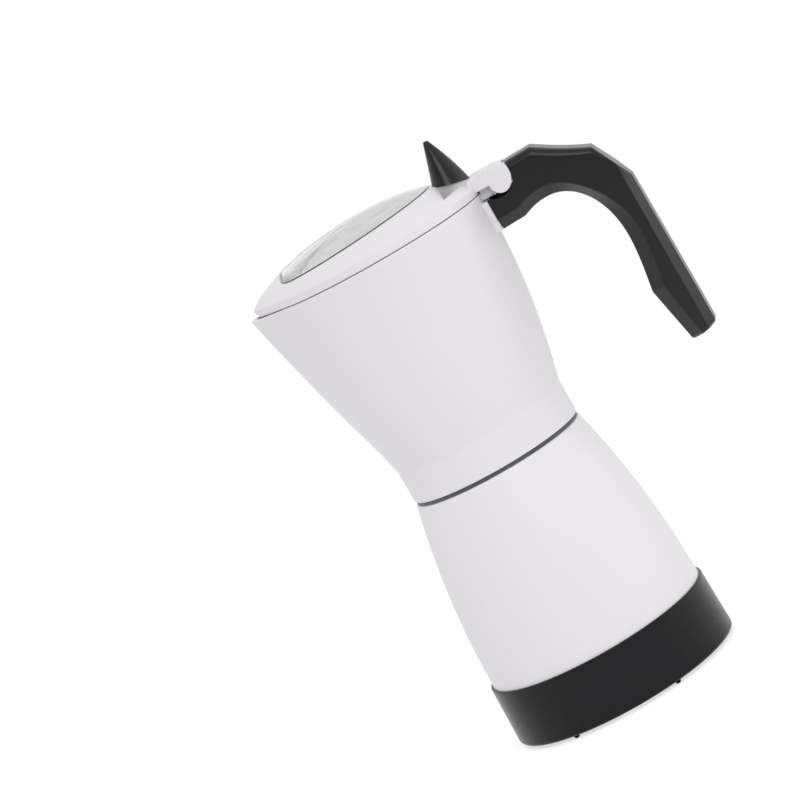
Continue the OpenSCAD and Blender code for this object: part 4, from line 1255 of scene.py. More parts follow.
@dataclass
class Lid:
    """White domed lid with its window, knob and hinge ears.

    Attributes:
        chamber: Chamber that it closes.
        gap: Gap of the seam under it.
        tip_r: Distance from the axis to its tip.
        edge_h: Height of its upright edge.
        dome_h: Height of the dome above that edge.
        dome_powers: Inner and outer power of the dome's curve.
        dome_shares: Shares of the way from window to edge at which the dome has a ring.
        under_shares: Shares of the way from lip to window at which its underside has a ring.
        plug_shares: Shares of the lid's radius at which the filling under the dome has a ring.
        wall: Wall of the dome.
        edge_round: Rounding of its edges.
        lip_gap: Gap between lip and chamber wall.
        lip_t: Thickness of the lip.
        lip_h: Depth of the lip.
        window_x: Place of the window's centre.
        window_r: Radius of the window.
        window_front: Distance from the axis to the window's straight front.
        window_soft: Rounding of the window's front corners.
        window_gap: Gap round the window.
        window_rise: How far the window stands proud.
        window_shares: Shares of the window's radius at which it has a ring.
        flange: Width of the window's flange.
        flange_t: Thickness of the window's flange.
        gasket_t: Thickness of the seal over the flange.
        step_gap: Distance from the window to the step behind it.
        step_wall: Wall in front of the step.
        step_up: Height of the step's back above the lid's foot.
        step_fall: How much lower the step is in front.
        step_lean: How far the step's wall leans back to the step.
        step_floor: Floor of the step.
        knob_foot: Length of the knob's foot.
        knob_w: Width of the knob's foot.
        knob_h: Height of the knob.
        knob_up: Height of the foot's front above the lid's foot.
        knob_slant: How much lower the foot is behind.
        knob_lap: How far the knob's foot laps over the step's wall.
        knob_lean: How far the knob's tip lies behind the step's wall.
        knob_back: Slope and curve of the knob's back.
        knob_taper: Taper and power of the knob's width.
        knob_tip_w: Half the width of the knob's tip.
        knob_point: How much the knob is wider in front than behind.
        knob_tip: Share of the knob's height where its tip starts, and height of the rounded tip.
        knob_least: Share of the tip's size at its last ring.
        knob_sides: Number of sides of the knob.
        knob_rows: Number of rows up to the knob's tip, and on the tip.
        knob_sharp: Least angle of an edge that stays sharp on the knob, in degrees.
        seat_in: How far the pedestal's sides lie inside the knob's foot.
        seat_steps: Number of steps round the pedestal's back.
        ear_r: Radius of the hook of the ears.
        hook: Place of the hook's centre from the pin.
        ear_corner: Angle of the ears' upper back corner.
        arm_up: Height of the arms above the lid's foot.
        arm_under: Height of the arms' underside above the lid's foot.
        arm_back: Distance from the pin to the end of the arms' flat top.
        arm_chamfer: Chamfer at the front of the arms.
        arm_round: Rounding of the arms' edges.
        arm_sunk: How far the arms lie below the knob's foot.
        arm_slot: How far past the rim the slot between the arms is cut.
        pin_skin: Skin left over the pin's near end.
        pour: Length, width and height of the pouring slot.
    """

    chamber: Chamber
    gap: float = 0.00035
    tip_r: float = 0.057
    edge_h: float = 0.003
    dome_h: float = 0.0136
    dome_powers: tuple[float, float] = (2.2, 0.8)
    dome_shares: Shares = (0, 0.08, 0.2, 0.35, 0.5, 0.62, 0.72, 0.8, 0.86, 0.91, 0.945, 0.97, 0.985,
                           0.994, 1)
    under_shares: Shares = (0, 0.25, 0.5, 0.75)
    plug_shares: Shares = (0.98, 0.94, 0.88, 0.8, 0.7, 0.6, 0.45, 0.3, 0.1)
    wall: float = 0.002
    edge_round: float = 0.0004
    lip_gap: float = 0.0005
    lip_t: float = 0.0016
    lip_h: float = 0.0034
    window_x: float = -0.0055
    window_r: float = 0.037
    window_front: float = 0.0395
    window_soft: float = 0.0009
    window_gap: float = 0.0001
    window_rise: float = 0.00015
    window_shares: Shares = (0.02, 0.15, 0.3, 0.45, 0.6, 0.72, 0.84, 0.93)
    flange: float = 0.0022
    flange_t: float = 0.0012
    gasket_t: float = 0.0006
    step_gap: float = 0.0025
    step_wall: float = 0.0018
    step_up: float = 0.0068
    step_fall: float = 0.0006
    step_lean: float = 0.0025
    step_floor: float = 0.002
    knob_foot: float = 0.0142
    knob_w: float = 0.015
    knob_h: float = 0.018
    knob_up: float = 0.0113
    knob_slant: float = 0.0041
    knob_lap: float = 0.0012
    knob_lean: float = 0.0046
    knob_back: tuple[float, float] = (0.289, 7.92)
    knob_taper: tuple[float, float] = (0.98, 0.85)
    knob_tip_w: float = 0.0004
    knob_point: float = 0.18
    knob_tip: tuple[float, float] = (0.96, 0.0007)
    knob_least: float = 0.02
    knob_sides: int = 64
    knob_rows: tuple[int, int] = (24, 6)
    knob_sharp: float = 40.0
    seat_in: float = 0.0022
    seat_steps: int = 32
    ear_r: float = 0.0047
    hook: Point = (0.0023, -0.0025)
    ear_corner: float = 26.3
    arm_up: float = 0.0074
    arm_under: float = 0.0011
    arm_back: float = 0.0021
    arm_chamfer: float = 0.0015
    arm_round: float = 0.0005
    arm_sunk: float = 0.0003
    arm_slot: float = 0.03
    pin_skin: float = 0.0012
    pour: tuple[float, float, float] = (0.02, 0.013, 0.0013)

    @property
    def foot(self) -> float:
        """Height of the lid's lower edge."""
        return self.chamber.rim + self.gap

    @property
    def edge(self) -> float:
        """Height at which the dome starts."""
        return self.foot + self.edge_h

    @property
    def step_x(self) -> float:
        """Place of the wall in front of the step."""
        return self.window_x + self.window_r + self.step_gap

    @property
    def swing(self) -> float:
        """Radius of the circle that the ears swing in."""
        return math.hypot(*self.hook) + self.ear_r

    def reach(self, turn: float) -> float:
        """Radius of the lid at an angle."""
        return BEAK.radius(self.chamber.rim_r, self.tip_r, turn)

    def dome(self, radius: float, turn: float) -> float:
        """Height of the dome.

        Args:
            radius: Distance from the axis.
            turn: Angle about the axis.

        Returns:
            Height of the dome's upper face there.
        """
        share = min(1.0, radius / self.reach(turn))
        inner, outer = self.dome_powers
        return self.edge + self.dome_h * (1 - share ** inner) ** outer

    def window_edge(self, turn: float, grow: float) -> float:
        """Radius of the window's outline about the pot's axis.

        Args:
            turn: Angle about the axis.
            grow: How far the outline is moved outward.

        Returns:
            Distance from the axis to the outline.
        """
        across = self.window_x * math.sin(turn)
        round_r = self.window_x * math.cos(turn) + math.sqrt((self.window_r + grow) ** 2 - across ** 2)
        if math.cos(turn) > -SIDEWAYS:
            return round_r
        chord = (self.window_front + grow) / -math.cos(turn)
        soft = self.window_soft
        return -soft * math.log(math.exp(-round_r / soft) + math.exp(-chord / soft))

    def hole(self, turn: float) -> float:
        """Radius of the window's hole at an angle."""
        return self.window_edge(turn, self.window_gap)

    def flange_edge(self, turn: float) -> float:
        """Radius of the window's flange, which ends straight in front of the step.

        Args:
            turn: Angle about the axis.

        Returns:
            Distance from the axis to the flange's edge.
        """
        radius = self.window_edge(turn, self.flange)
        if math.cos(turn) <= SIDEWAYS:
            return radius
        limit = self.step_x - self.step_wall - SLIDE_GAP
        return min(radius, limit / math.cos(turn))

    def on_dome(self, reach: Callable[[float], float], down: float = 0.0) -> Place:
        """Place of a ring that follows the dome.

        Args:
            reach: Radius of the ring at an angle.
            down: Depth of the ring under the dome.

        Returns:
            Radius and height of the ring at an angle.
        """
        return lambda turn: (reach(turn), self.dome(reach(turn), turn) - down)

    def across(self, share: float, down: float) -> Place:
        """Place of a ring across the window.

        Args:
            share: Share of the window's radius.
            down: Depth of the ring under the dome.

        Returns:
            Radius and height of the ring at an angle.
        """
        return self.on_dome(lambda turn: share * (self.window_edge(turn, 0) - self.edge_round), down)

    @staticmethod
    def ring(place: Place) -> list[Vector]:
        """Ring of the lid.

        Args:
            place: Radius and height of the ring at an angle.

        Returns:
            Its points, from +X round.
        """
        points = []
        for i in range(LID_STEPS):
            turn = math.tau * i / LID_STEPS
            radius, z = place(turn)
            points.append(Vector((radius * math.cos(turn), radius * math.sin(turn), z)))
        return points

    def shell_rings(self) -> list[list[Vector]]:
        """Draw the rings of the shell: window wall, dome, edge, lip and underside.

        Returns:
            The rings in order, of which the last joins the first.
        """
        soft, mid = self.edge_round, ROUND_MID * self.edge_round
        lip_out = self.chamber.wall + self.lip_gap
        lip_in, lip_low = lip_out + self.lip_t, self.foot - self.lip_h
        places = [self.on_dome(lambda q, out=out: self.hole(q) + out, down)
                  for out, down in ((0, self.wall), (0, soft), (mid, mid))]
        places += [self.on_dome(lambda q, share=share: mix(self.hole(q) + soft, self.reach(q), share))
                   for share in self.dome_shares]
        edges = [(0, self.foot + soft), (mid, self.foot + mid), (soft, self.foot), (lip_out, self.foot),
                 (lip_out, lip_low), (lip_in, lip_low)]
        places += [lambda q, inset=inset, z=z: (self.reach(q) - inset, z) for inset, z in edges]
        places += [self.on_dome(lambda q, share=share: mix(self.reach(q) - lip_in, self.hole(q), share),
                                self.wall) for share in self.under_shares]
        return [self.ring(place) for place in places]

    def plug(self) -> Piece:
        """Loft the filling under the dome that the step is cut from.

        Returns:
            The filling.
        """
        low = self.foot + self.step_up - self.step_fall - self.step_floor
        places = [lambda q: (self.plug_shares[0] * self.reach(q), low)]
        places += [self.on_dome(lambda q, share=share: share * self.reach(q), FIT_GAP)
                   for share in self.plug_shares]
        return lofted("plug", [self.ring(place) for place in places])

    def step_line(self) -> tuple[Point, Point]:
        """Back and front of the step's floor, as X and Z."""
        back = (self.step_x + self.knob_foot, self.foot + self.step_up)
        return back, (self.step_x + self.step_lean, self.foot + self.step_up - self.step_fall)

    def seat(self) -> Piece:
        """Cut the pedestal under the knob, with straight sides in front and round behind.

        Returns:
            The pedestal.
        """
        back, front = self.step_line()
        top = self.foot + self.knob_up
        lean = self.knob_slant / self.knob_foot
        low = front[1] - self.step_floor / 2
        ahead, behind = self.step_x - SPECK, back[0] + SPECK
        wedge = [(ahead, low), (behind, low), (behind, top - self.knob_slant - lean * SPECK),
                 (ahead, top + lean * SPECK)]
        piece = slab("seat", wedge, -self.knob_w, self.knob_w)
        half, wide = self.knob_foot / 2, self.knob_w / 2 - self.seat_in
        front_x = self.step_x - self.step_wall / 2
        plan = [(front_x, wide), (front_x, -wide)]
        for i in range(self.seat_steps + 1):
            q = math.pi * (i / self.seat_steps - 0.5)
            plan.append((self.step_x + half * (1 + math.cos(q)), wide * math.sin(q)))
        prism = trace("prism", [Vector((x, y, low - SPECK)) for x, y in plan])
        with editing(prism):
            bpy.ops.mesh.edge_face_add()
            bpy.ops.mesh.extrude_region_move(TRANSFORM_OT_translate={"value": (0, 0, 2 * self.knob_h)})
            close_up()
        joined(piece, prism, Join.KEEP)
        return piece

    def arms(self) -> Piece:
        """Cut the hinge arms with their hooked ears, open in the middle for the lug.

        Returns:
            The arms.
        """
        chamber = self.chamber
        pin = chamber.hinge
        hook = (pin.x + self.hook[0], pin.z + self.hook[1])
        under, top = self.foot + self.arm_under, self.foot + self.arm_up
        front = chamber.rim_r - chamber.wall
        start = 180 - math.degrees(math.asin((under - hook[1]) / self.ear_r))
        meet = math.degrees(math.atan2(self.hook[1], self.hook[0]))
        outline = [(front, under)] + arc(hook, self.ear_r, start, 360 + meet, 14)[:-1]
        outline += arc((pin.x, pin.z), self.swing, meet, self.ear_corner, 8)
        outline += [(pin.x + self.arm_back, top), (front + self.arm_chamfer, top),
                    (front, top - self.arm_chamfer)]
        half = chamber.width / 2
        piece = slab("arms", outline, -half, half)
        rounded(piece, self.arm_round, 3)
        with editing(piece):
            bpy.ops.mesh.quads_convert_to_tris()
        slot = chamber.lug_w / 2 + SLIDE_GAP
        gap = block("gap", (chamber.rim_r, -slot, self.foot - CUT_FAR),
                    (chamber.rim_r + self.arm_slot, slot, pin.z + chamber.lug_r + SLIDE_GAP))
        joined(piece, gap, Join.CUT)
        end = self.step_x + self.knob_foot + SEAT_GAP
        seat = self.foot + self.knob_up
        clear = [(self.step_x, seat - self.arm_sunk), (end, seat - self.knob_slant - self.arm_sunk),
                 (end, seat + self.knob_h), (self.step_x, seat + self.knob_h)]
        joined(piece, slab("clear", clear, -chamber.width, chamber.width), Join.CUT)
        return piece

    def shell(self) -> Piece:
        """Loft the shell, cut its step, and add pedestal and arms.

        Returns:
            The whole painted lid.
        """
        piece = lofted("lid_dome", self.shell_rings(), looped=True)
        back, front = self.step_line()
        low = front[1] - self.step_floor
        wall_x = self.step_x - self.step_wall
        high, far = self.foot + CUT_FAR, CUT_FAR
        fill = self.plug()
        joined(fill, block("behind", (wall_x, -far, low - SPECK), (far, far, high)), Join.KEEP)
        joined(piece, fill, Join.ADD)
        above = [back, front, (self.step_x, self.foot + self.knob_up), (self.step_x, high), (far, high),
                 (far, back[1])]
        joined(piece, slab("above", above, -far, far), Join.CUT)
        joined(piece, self.seat(), Join.ADD)
        joined(piece, self.arms(), Join.ADD)
        chamber = self.chamber
        pin = chamber.hinge
        bore = rod("pin", (pin.x, self.pin_skin - chamber.width / 2, pin.z), (0, chamber.width, 0),
                   chamber.pin_r + FIT_GAP)
        joined(piece, bore, Join.CUT)
        length, width, height = self.pour
        pour = block("pour", (-self.tip_r - CUT_FAR, -width / 2, self.foot - self.lip_h - SPECK),
                     (length - self.tip_r, width / 2, self.foot + height))
        joined(piece, pour, Join.CUT)
        smoothed(piece)
        return piece

    def window(self) -> Piece:
        """Loft the clear window, with a rounded raised edge and a flange under the lid.

        Returns:
            The window.
        """
        soft, mid, rise = self.edge_round, ROUND_MID * self.edge_round, self.window_rise
        flange_top = self.wall + self.gasket_t
        under = flange_top + self.flange_t
        places = [self.across(share, under) for share in self.window_shares]
        places += [self.on_dome(self.flange_edge, down) for down in (under, flange_top)]
        rims = [(0, flange_top), (0, soft - rise), (mid, mid - rise), (soft, -rise)]
        places += [self.on_dome(lambda q, inset=inset: self.window_edge(q, 0) - inset, down)
                   for inset, down in rims]
        places += [self.across(share, -rise) for share in reversed(self.window_shares)]
        piece = lofted("lid_glazing", [self.ring(place) for place in places])
        smoothed(piece)
        return piece

    def knob_ring(self, share: float, shrink: float = 1.0, lift: float = 0.0) -> list[Vector]:
        """Ring of the knob.

        Args:
            share: Share of the knob's height.
            shrink: Factor on the ring's size.
            lift: Height added to the ring.

        Returns:
            Points of the ring.
        """
        rise = self.knob_h * share
        slope, curve = self.knob_back
        taper, power = self.knob_taper
        front = self.step_x - self.knob_lap + (self.knob_lean + self.knob_lap) * share
        back = self.step_x + self.knob_foot - (slope * rise + curve * rise * rise)
        z_front = self.foot + self.knob_up + rise
        z_back = z_front - self.knob_slant * (1 - share)
        half, middle = (back - front) / 2 * shrink, (back + front) / 2
        wide = (self.knob_w / 2 * (1 - share * taper) ** power + self.knob_tip_w * share) * shrink
        points = []
        for i in range(self.knob_sides):
            q = math.tau * i / self.knob_sides
            side = wide * math.sin(q) * (1 - self.knob_point * math.cos(q))
            level = mix(z_front, z_back, (math.cos(q) * shrink + 1) / 2) + lift
            points.append(Vector((middle + half * math.cos(q), side, level)))
        return points

    def knob(self) -> Piece:
        """Loft the horn-shaped finger knob with its rounded tip.

        Returns:
            The knob.
        """
        tip_share, tip_lift = self.knob_tip
        rows, tip_rows = self.knob_rows
        rings = [self.knob_ring(tip_share * i / rows) for i in range(rows + 1)]
        for i in range(1, tip_rows + 1):
            q = math.pi / 2 * i / tip_rows
            shrink = max(self.knob_least, math.cos(q))
            rings.append(self.knob_ring(tip_share, shrink, tip_lift * math.sin(q)))
        piece = lofted("finger_knob", rings)
        smoothed(piece, self.knob_sharp)
        return piece

    def build(self, paints: Paintbox) -> None:
        """Model and dress the lid.

        Args:
            paints: Materials of the pot.
        """
        paints.install(self.shell(), "lid_shell", "painted_white")
        paints.install(self.window(), "lid_window", "clear_plastic")
        # The knob takes the shinier, darker copy of the black plastic, as painted highlight.
        paints.install(self.knob(), "lid_knob", "black_plastic", "shinier_black_plastic")


@dataclass(frozen=True)
class Station:
    """Point that an edge of the handle runs through.

    Attributes:
        place: X and Z from where the station is measured.
        way: How far it moves for each unit that the edge is set in.
        arrive: Control point of the curve that ends here, as seen from here.
        leave: Control point of the curve that starts here, as seen from here.
    """

    place: Point
    way: Point = (0.0, 0.0)
    arrive: Point = (0.0, 0.0)
    leave: Point = (0.0, 0.0)

    def at(self, origin: Point, d: float = 0.0) -> Point:
        """Place of the station.

        Args:
            origin: X and Z that it is measured from.
            d: Distance by which the edge is set in.

        Returns:
            X and Z of the station.
        """
        return (origin[0] + self.place[0] + d * self.way[0], origin[1] + self.place[1] + d * self.way[1])

    def curve(self, other: "Station", here: Point, there: Point, steps: int) -> Outline:
        """Draw the curve from this station to another one.

        Args:
            other: Station that the curve ends at.
            here: Place of this station.
            there: Place of the other station.
            steps: Number of steps.

        Returns:
            Points of the curve, without its last one.
        """
        first = (here[0] + self.leave[0], here[1] + self.leave[1])
        second = (there[0] + other.arrive[0], there[1] + other.arrive[1])
        return bezier(here, first, second, there, steps)


@dataclass
class Handle:
    """Black open handle with bevelled sides.

    Attributes:
        chamber: Chamber that it is screwed to.
        lid: Lid whose ears it keeps clear of.
        back: Distance from the axis to its back.
        drop: Depth of its lower end below the rim.
        top_up: Height of its top above the rim.
        top_sag: How far its top sags behind the front.
        sag_shares: Shares of the way along the sagging top that carry its control points.
        front: Front of the inner edge, from the boss's face at the rim.
        corner: Corner of the inner edge behind it.
        crown: Highest point of the inner edge.
        grip: Middle of the grip on the inner edge, from the back at the rim.
        kink: Narrowest point of the inner edge.
        out_top: End of the level top, from the hinge at the top's height.
        out_slope: Start of the back slope, from the back at the rim.
        out_rear: End of the back slope.
        out_grip: Middle of the grip on the outer edge.
        out_low: Point of the outer edge above its end.
        bevel_in: Width of the bevels on its inner side.
        bevel_out: Width of the bevels on its outer side.
        bevel_depth: Depth of the side bevels.
        grip_depth: Depth of the inner bevels along the grip.
        bevel_start: Share of the back slope at which the outer bevels start.
        top_rounds: Rounding of its top edges at the front, the slope and the bevels' start.
        top_ways: Way to the lower edge of that rounding, from the front to the bevels' start.
        round_steps: Steps of that rounding.
        end_in: Distance from its back to the inner edge at the lower end.
        end_low: How far the inner edge reaches below the lower end.
        end_slope: Slope of its lower end.
        end_round: Rounding of its lower end.
        end_steps: Steps of that rounding.
        edge: Rounding of its edges.
        edge_steps: Steps of that rounding.
        edge_angle: Least angle of an edge that is rounded, in degrees.
        sharp: Least angle of an edge that stays sharp, in degrees.
        clear: Gap round the ears' swing.
        swing_sides: Number of sides of the notch for that swing.
        boss_gap: Gap over the boss.
        ear_room: Length of the room over the ears behind the pin.
        screw_way: Length of the screw's way below its head, and of its head.
        rib: How far the rib under the lug reaches before and behind the pin.
        steps: Steps of each stretch of the spine.
    """

    chamber: Chamber
    lid: Lid
    back: float = 0.108
    drop: float = 0.093
    top_up: float = 0.0066
    top_sag: float = 0.0009
    sag_shares: tuple[float, float] = (0.35, 0.7)
    front: Station = Station((0.0, -0.0175), (0.0, 0.95))
    corner: Station = Station((0.0105, -0.0171), (-0.1, 0.97), leave=(0.004, 0.0016))
    crown: Station = Station((0.022, -0.0146), (0.0, 1.0), arrive=(-0.005, 0.0), leave=(0.0115, 0.0))
    grip: Station = Station((-0.0148, -0.045), (1.2, 0.0), arrive=(0.0, 0.018), leave=(0.0, -0.009))
    kink: Station = Station((-0.0177, -0.0704), (1.2, 0.0), arrive=(0.0012, 0.008))
    out_top: Station = Station((0.0195, 0.0006))
    out_slope: Station = Station((-0.0098, -0.0053))
    out_rear: Station = Station((-0.0006, -0.0236), (-0.9, 0.0))
    out_grip: Station = Station((-0.0002, -0.06), (-1.0, 0.0))
    out_low: Station = Station((0.0, -0.078), (-1.0, 0.0))
    bevel_in: float = 0.005
    bevel_out: float = 0.0044
    bevel_depth: float = 0.005
    grip_depth: float = 0.0072
    bevel_start: float = 0.55
    top_rounds: tuple[float, float, float] = (0.0042, 0.0034, 0.0006)
    top_ways: tuple[Point, ...] = ((0.0, -1.0), (-0.262, -1.0), (-0.755, -0.72), (-0.89, -0.45))
    round_steps: int = 8
    end_in: float = 0.0126
    end_low: float = 0.003
    end_slope: float = 0.22
    end_round: float = 0.0016
    end_steps: int = 6
    edge: float = 0.0005
    edge_steps: int = 3
    edge_angle: float = 24.0
    sharp: float = 28.0
    clear: float = 0.00025
    swing_sides: int = 128
    boss_gap: float = 0.0002
    ear_room: float = 0.008
    screw_way: tuple[float, float] = (0.01, 0.0016)
    rib: tuple[float, float] = (0.002, 0.0022)
    steps: int = 24

    def inner_edge(self, d: float) -> Outline:
        """Inner edge from the front along the arch to the lower end.

        Args:
            d: Distance by which the edge is moved into the handle.

        Returns:
            X and Z of each station.
        """
        rim, few = self.chamber.rim, self.steps // 3
        face, back = (self.chamber.boss_x, rim), (self.back, rim)
        front, corner, crown = self.front.at(face, d), self.corner.at(face, d), self.crown.at(face, d)
        grip, kink = self.grip.at(back, d), self.kink.at(back, d)
        end = (self.back - self.end_in + d, rim - self.drop - self.end_low + d * self.end_slope)
        points = straight(front, corner, few)
        points += self.corner.curve(self.crown, corner, crown, self.steps - few)
        points += self.crown.curve(self.grip, crown, grip, self.steps)
        points += self.grip.curve(self.kink, grip, kink, self.steps)
        return points + [kink, end]

    def outer_edge(self, d: float) -> Outline:
        """Outer edge, with a station for each one of the inner edge.

        Args:
            d: Distance by which the edge is moved into the handle.

        Returns:
            X and Z of each station.
        """
        rim, half = self.chamber.rim, self.steps // 2
        level, back = rim + self.top_up, (self.back, rim)
        front, top = (self.chamber.boss_x, level), self.out_top.at((self.chamber.hinge.x, level))
        slope, rear = self.out_slope.at(back), self.out_rear.at(back, d)
        end = (self.back - d, rim - self.drop - self.end_low + (self.end_in - d) * self.end_slope)
        sags = [(mix(top[0], slope[0], share), mix(top[1], slope[1], share) - self.top_sag)
                for share in self.sag_shares]
        points = straight(front, top, self.steps) + bezier(top, *sags, slope, half)
        start = tuple(mix(a, b, self.bevel_start) for a, b in zip(slope, self.out_rear.at(back)))
        few = round(half * self.bevel_start)
        points += straight(slope, start, few) + straight(start, rear, half - few)
        points += straight(rear, self.out_grip.at(back, d), self.steps)
        return points + [self.out_low.at(back, d), end]

    def top_side(self, station: int) -> tuple[float, Point, float]:
        """Rounding of the top at a station.

        Args:
            station: Number of the station from the front.

        Returns:
            The rounding, the way that its lower edge is moved for each unit of it, and its share of a
            full rounding: 1 as far as the bevels' start, and 0 where they have their full width.
        """
        half = self.steps // 2
        few = round(half * self.bevel_start)
        front, slope, start = self.top_rounds
        front_way, top_way, slope_way, start_way = self.top_ways
        marks = [(0, front, front_way, 1.0), (self.steps, front, top_way, 1.0),
                 (self.steps + half, slope, slope_way, 1.0),
                 (self.steps + half + few, start, start_way, 1.0),
                 (self.steps + 2 * half, start, start_way, 0.0)]
        for (low, r_a, way_a, full_a), (high, r_b, way_b, full_b) in zip(marks, marks[1:]):
            if station <= high:
                share = (station - low) / (high - low)
                way = (mix(way_a[0], way_b[0], share), mix(way_a[1], way_b[1], share))
                return mix(r_a, r_b, share), way, mix(full_a, full_b, share)
        return 0.0, (0.0, 0.0), 0.0

    def outer_round(self, station: int, edge: Point, bevel: Point) -> list[Vector]:
        """Points of one side of the outer face at a station, from its middle to the side.

        Args:
            station: Number of the station from the front.
            edge: X and Z of the outer edge there.
            bevel: X and Z of the outer bevel's inner edge there.

        Returns:
            Points on the near side.
        """
        half = self.chamber.width / 2
        core = half - self.bevel_depth
        radius, way, full = self.top_side(station)
        flat = mix(core, half - radius, full)
        if full == 1:
            bevel = (edge[0] + radius * way[0], edge[1] + radius * way[1])
        a, b = Vector((edge[0], -flat, edge[1])), Vector((bevel[0], -half, bevel[1]))
        bend = ((a + b) / 2).lerp(Vector((edge[0], -half, edge[1])), full)
        shares = [i / self.round_steps for i in range(self.round_steps + 1)]
        return [a.lerp(bend, t).lerp(bend.lerp(b, t), t) for t in shares]

    def bar(self) -> Piece:
        """Loft the bar from sections along its spine.

        Returns:
            The bar.
        """
        half = self.chamber.width / 2
        outer, outer_in = self.outer_edge(0), self.outer_edge(self.bevel_out)
        inner, inner_in = self.inner_edge(0), self.inner_edge(self.bevel_in)
        rings = []
        for i, edge in enumerate(outer):
            near = self.outer_round(i, edge, outer_in[i])
            share = min(1.0, max(0.0, i / self.steps - 1))
            core = half - mix(self.bevel_depth, self.grip_depth, share)
            near += [Vector((x, -y, z)) for (x, z), y in ((inner_in[i], half), (inner[i], core))]
            rings.append(near + [Vector((p.x, -p.y, p.z)) for p in reversed(near)])
        rings[-1:] = self.round_end(rings[-2], rings[-1])
        piece = lofted("handle_bar", rings)
        rounded(piece, self.edge, self.edge_steps, self.edge_angle)
        return piece

    def round_end(self, above: list[Vector], end: list[Vector]) -> list[list[Vector]]:
        """Rings of the rounded lower end.

        Args:
            above: Ring above the end.
            end: Ring of the flat end.

        Returns:
            Rings that turn inward from just above the end to the end itself.
        """
        middle = sum(end, Vector()) / len(end)
        rings = []
        for i in range(self.end_steps + 1):
            turn = math.pi / 2 * i / self.end_steps
            back, inward = self.end_round * (1 - math.sin(turn)), self.end_round * (1 - math.cos(turn))
            ring = []
            for high, low in zip(above, end):
                toward = middle - low
                ring.append(low + (high - low).normalized() * back + toward.normalized() * inward)
            rings.append(ring)
        return rings

    @property
    def swing(self) -> float:
        """Radius of the notch that the ears swing in."""
        return self.lid.swing + self.clear

    def is_shaded_notch(self, face: Face) -> bool:
        """Whether a face lies in the notch, which is painted as shade with a dark finish that doesn't
        reflect.
        """
        pin = self.chamber.hinge
        return math.hypot(face.center.x - pin.x, face.center.z - pin.z) < self.swing + FIT_GAP

    def body(self) -> Piece:
        """Cut the notch for the ears, the slot for the tongue and the screw's way, and add the rib.

        Returns:
            The whole handle.
        """
        chamber = self.chamber
        pin, wide = chamber.hinge, chamber.width
        piece = self.bar()
        front, boss_low = chamber.boss_x - SPECK, chamber.rim - chamber.boss_drop
        top, middle = boss_low + chamber.boss_h + self.boss_gap, boss_low + chamber.boss_h / 2
        length, width, height = chamber.tongue
        across, upward = width / 2 + SEAT_GAP, height / 2 + SEAT_GAP
        low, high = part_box("handle_screw")
        way, head = self.screw_way
        tools = [rod("swing", (pin.x, -wide, pin.z), (0, 2 * wide, 0), self.swing, self.swing_sides),
                 block("over_boss", (front, -wide, top), (pin.x, wide, top + CUT_FAR)),
                 block("over_ears", (front, -wide, pin.z), (pin.x + self.ear_room, wide, pin.z + CUT_FAR)),
                 block("slot", (front, -across, middle - upward),
                       (chamber.boss_x + length + SEAT_GAP, across, middle + upward)),
                 rod("screw_way", ((low.x + high.x) / 2, 0, low.z - way), (0, 0, way + head),
                     (high.x - low.x) / 2 + SEAT_GAP)]
        for tool in tools:
            joined(piece, tool, Join.CUT)
        before, behind = self.rib
        rib = block("rib", (pin.x - before, -chamber.lug_w / 2, pin.z - self.swing - SPECK),
                    (pin.x + behind, chamber.lug_w / 2, chamber.rim - chamber.lug_t - SEAT_GAP))
        joined(piece, rib, Join.ADD)
        smoothed(piece, self.sharp)
        return piece

    def build(self, paints: Paintbox) -> None:
        """Model and dress the handle.

        Args:
            paints: Materials of the pot.
        """
        body = self.body()
        # The handle takes the shinier, darker copy of the black plastic, as painted highlight along its
        # edges.
        paints.install(body, "handle", "black_plastic", "shinier_black_plastic")
        # The notch's faces get the rubber finish, which doesn't reflect, as painted shade in the recess.
        paints.line(body, "rubber", self.is_shaded_notch)


@dataclass(frozen=True)
class Lamp:
    """Square soft lamp.

    Attributes:
        name: Name of the lamp.
        spot: Place of the lamp.
        aim: Point that it faces.
        size: Width of the lamp.
        power: Power of the lamp.
        spread: Angle that its light fills, in degrees.
    """

    name: str
    spot: Spot
    aim: Spot
    size: float
    power: float
    spread: float = 180.0

    def hang(self) -> None:
        """Add the lamp to the scene."""
        data = bpy.data.lights.new(self.name, "AREA")
        data.size = self.size
        data.energy = self.power
        data.spread = math.radians(self.spread)
        lamp = bpy.data.objects.new(self.name, data)
        lamp.location = self.spot
        lamp.rotation_euler = (Vector(self.aim) - Vector(self.spot)).to_track_quat("-Z", "Y").to_euler()
        bpy.context.scene.collection.objects.link(lamp)


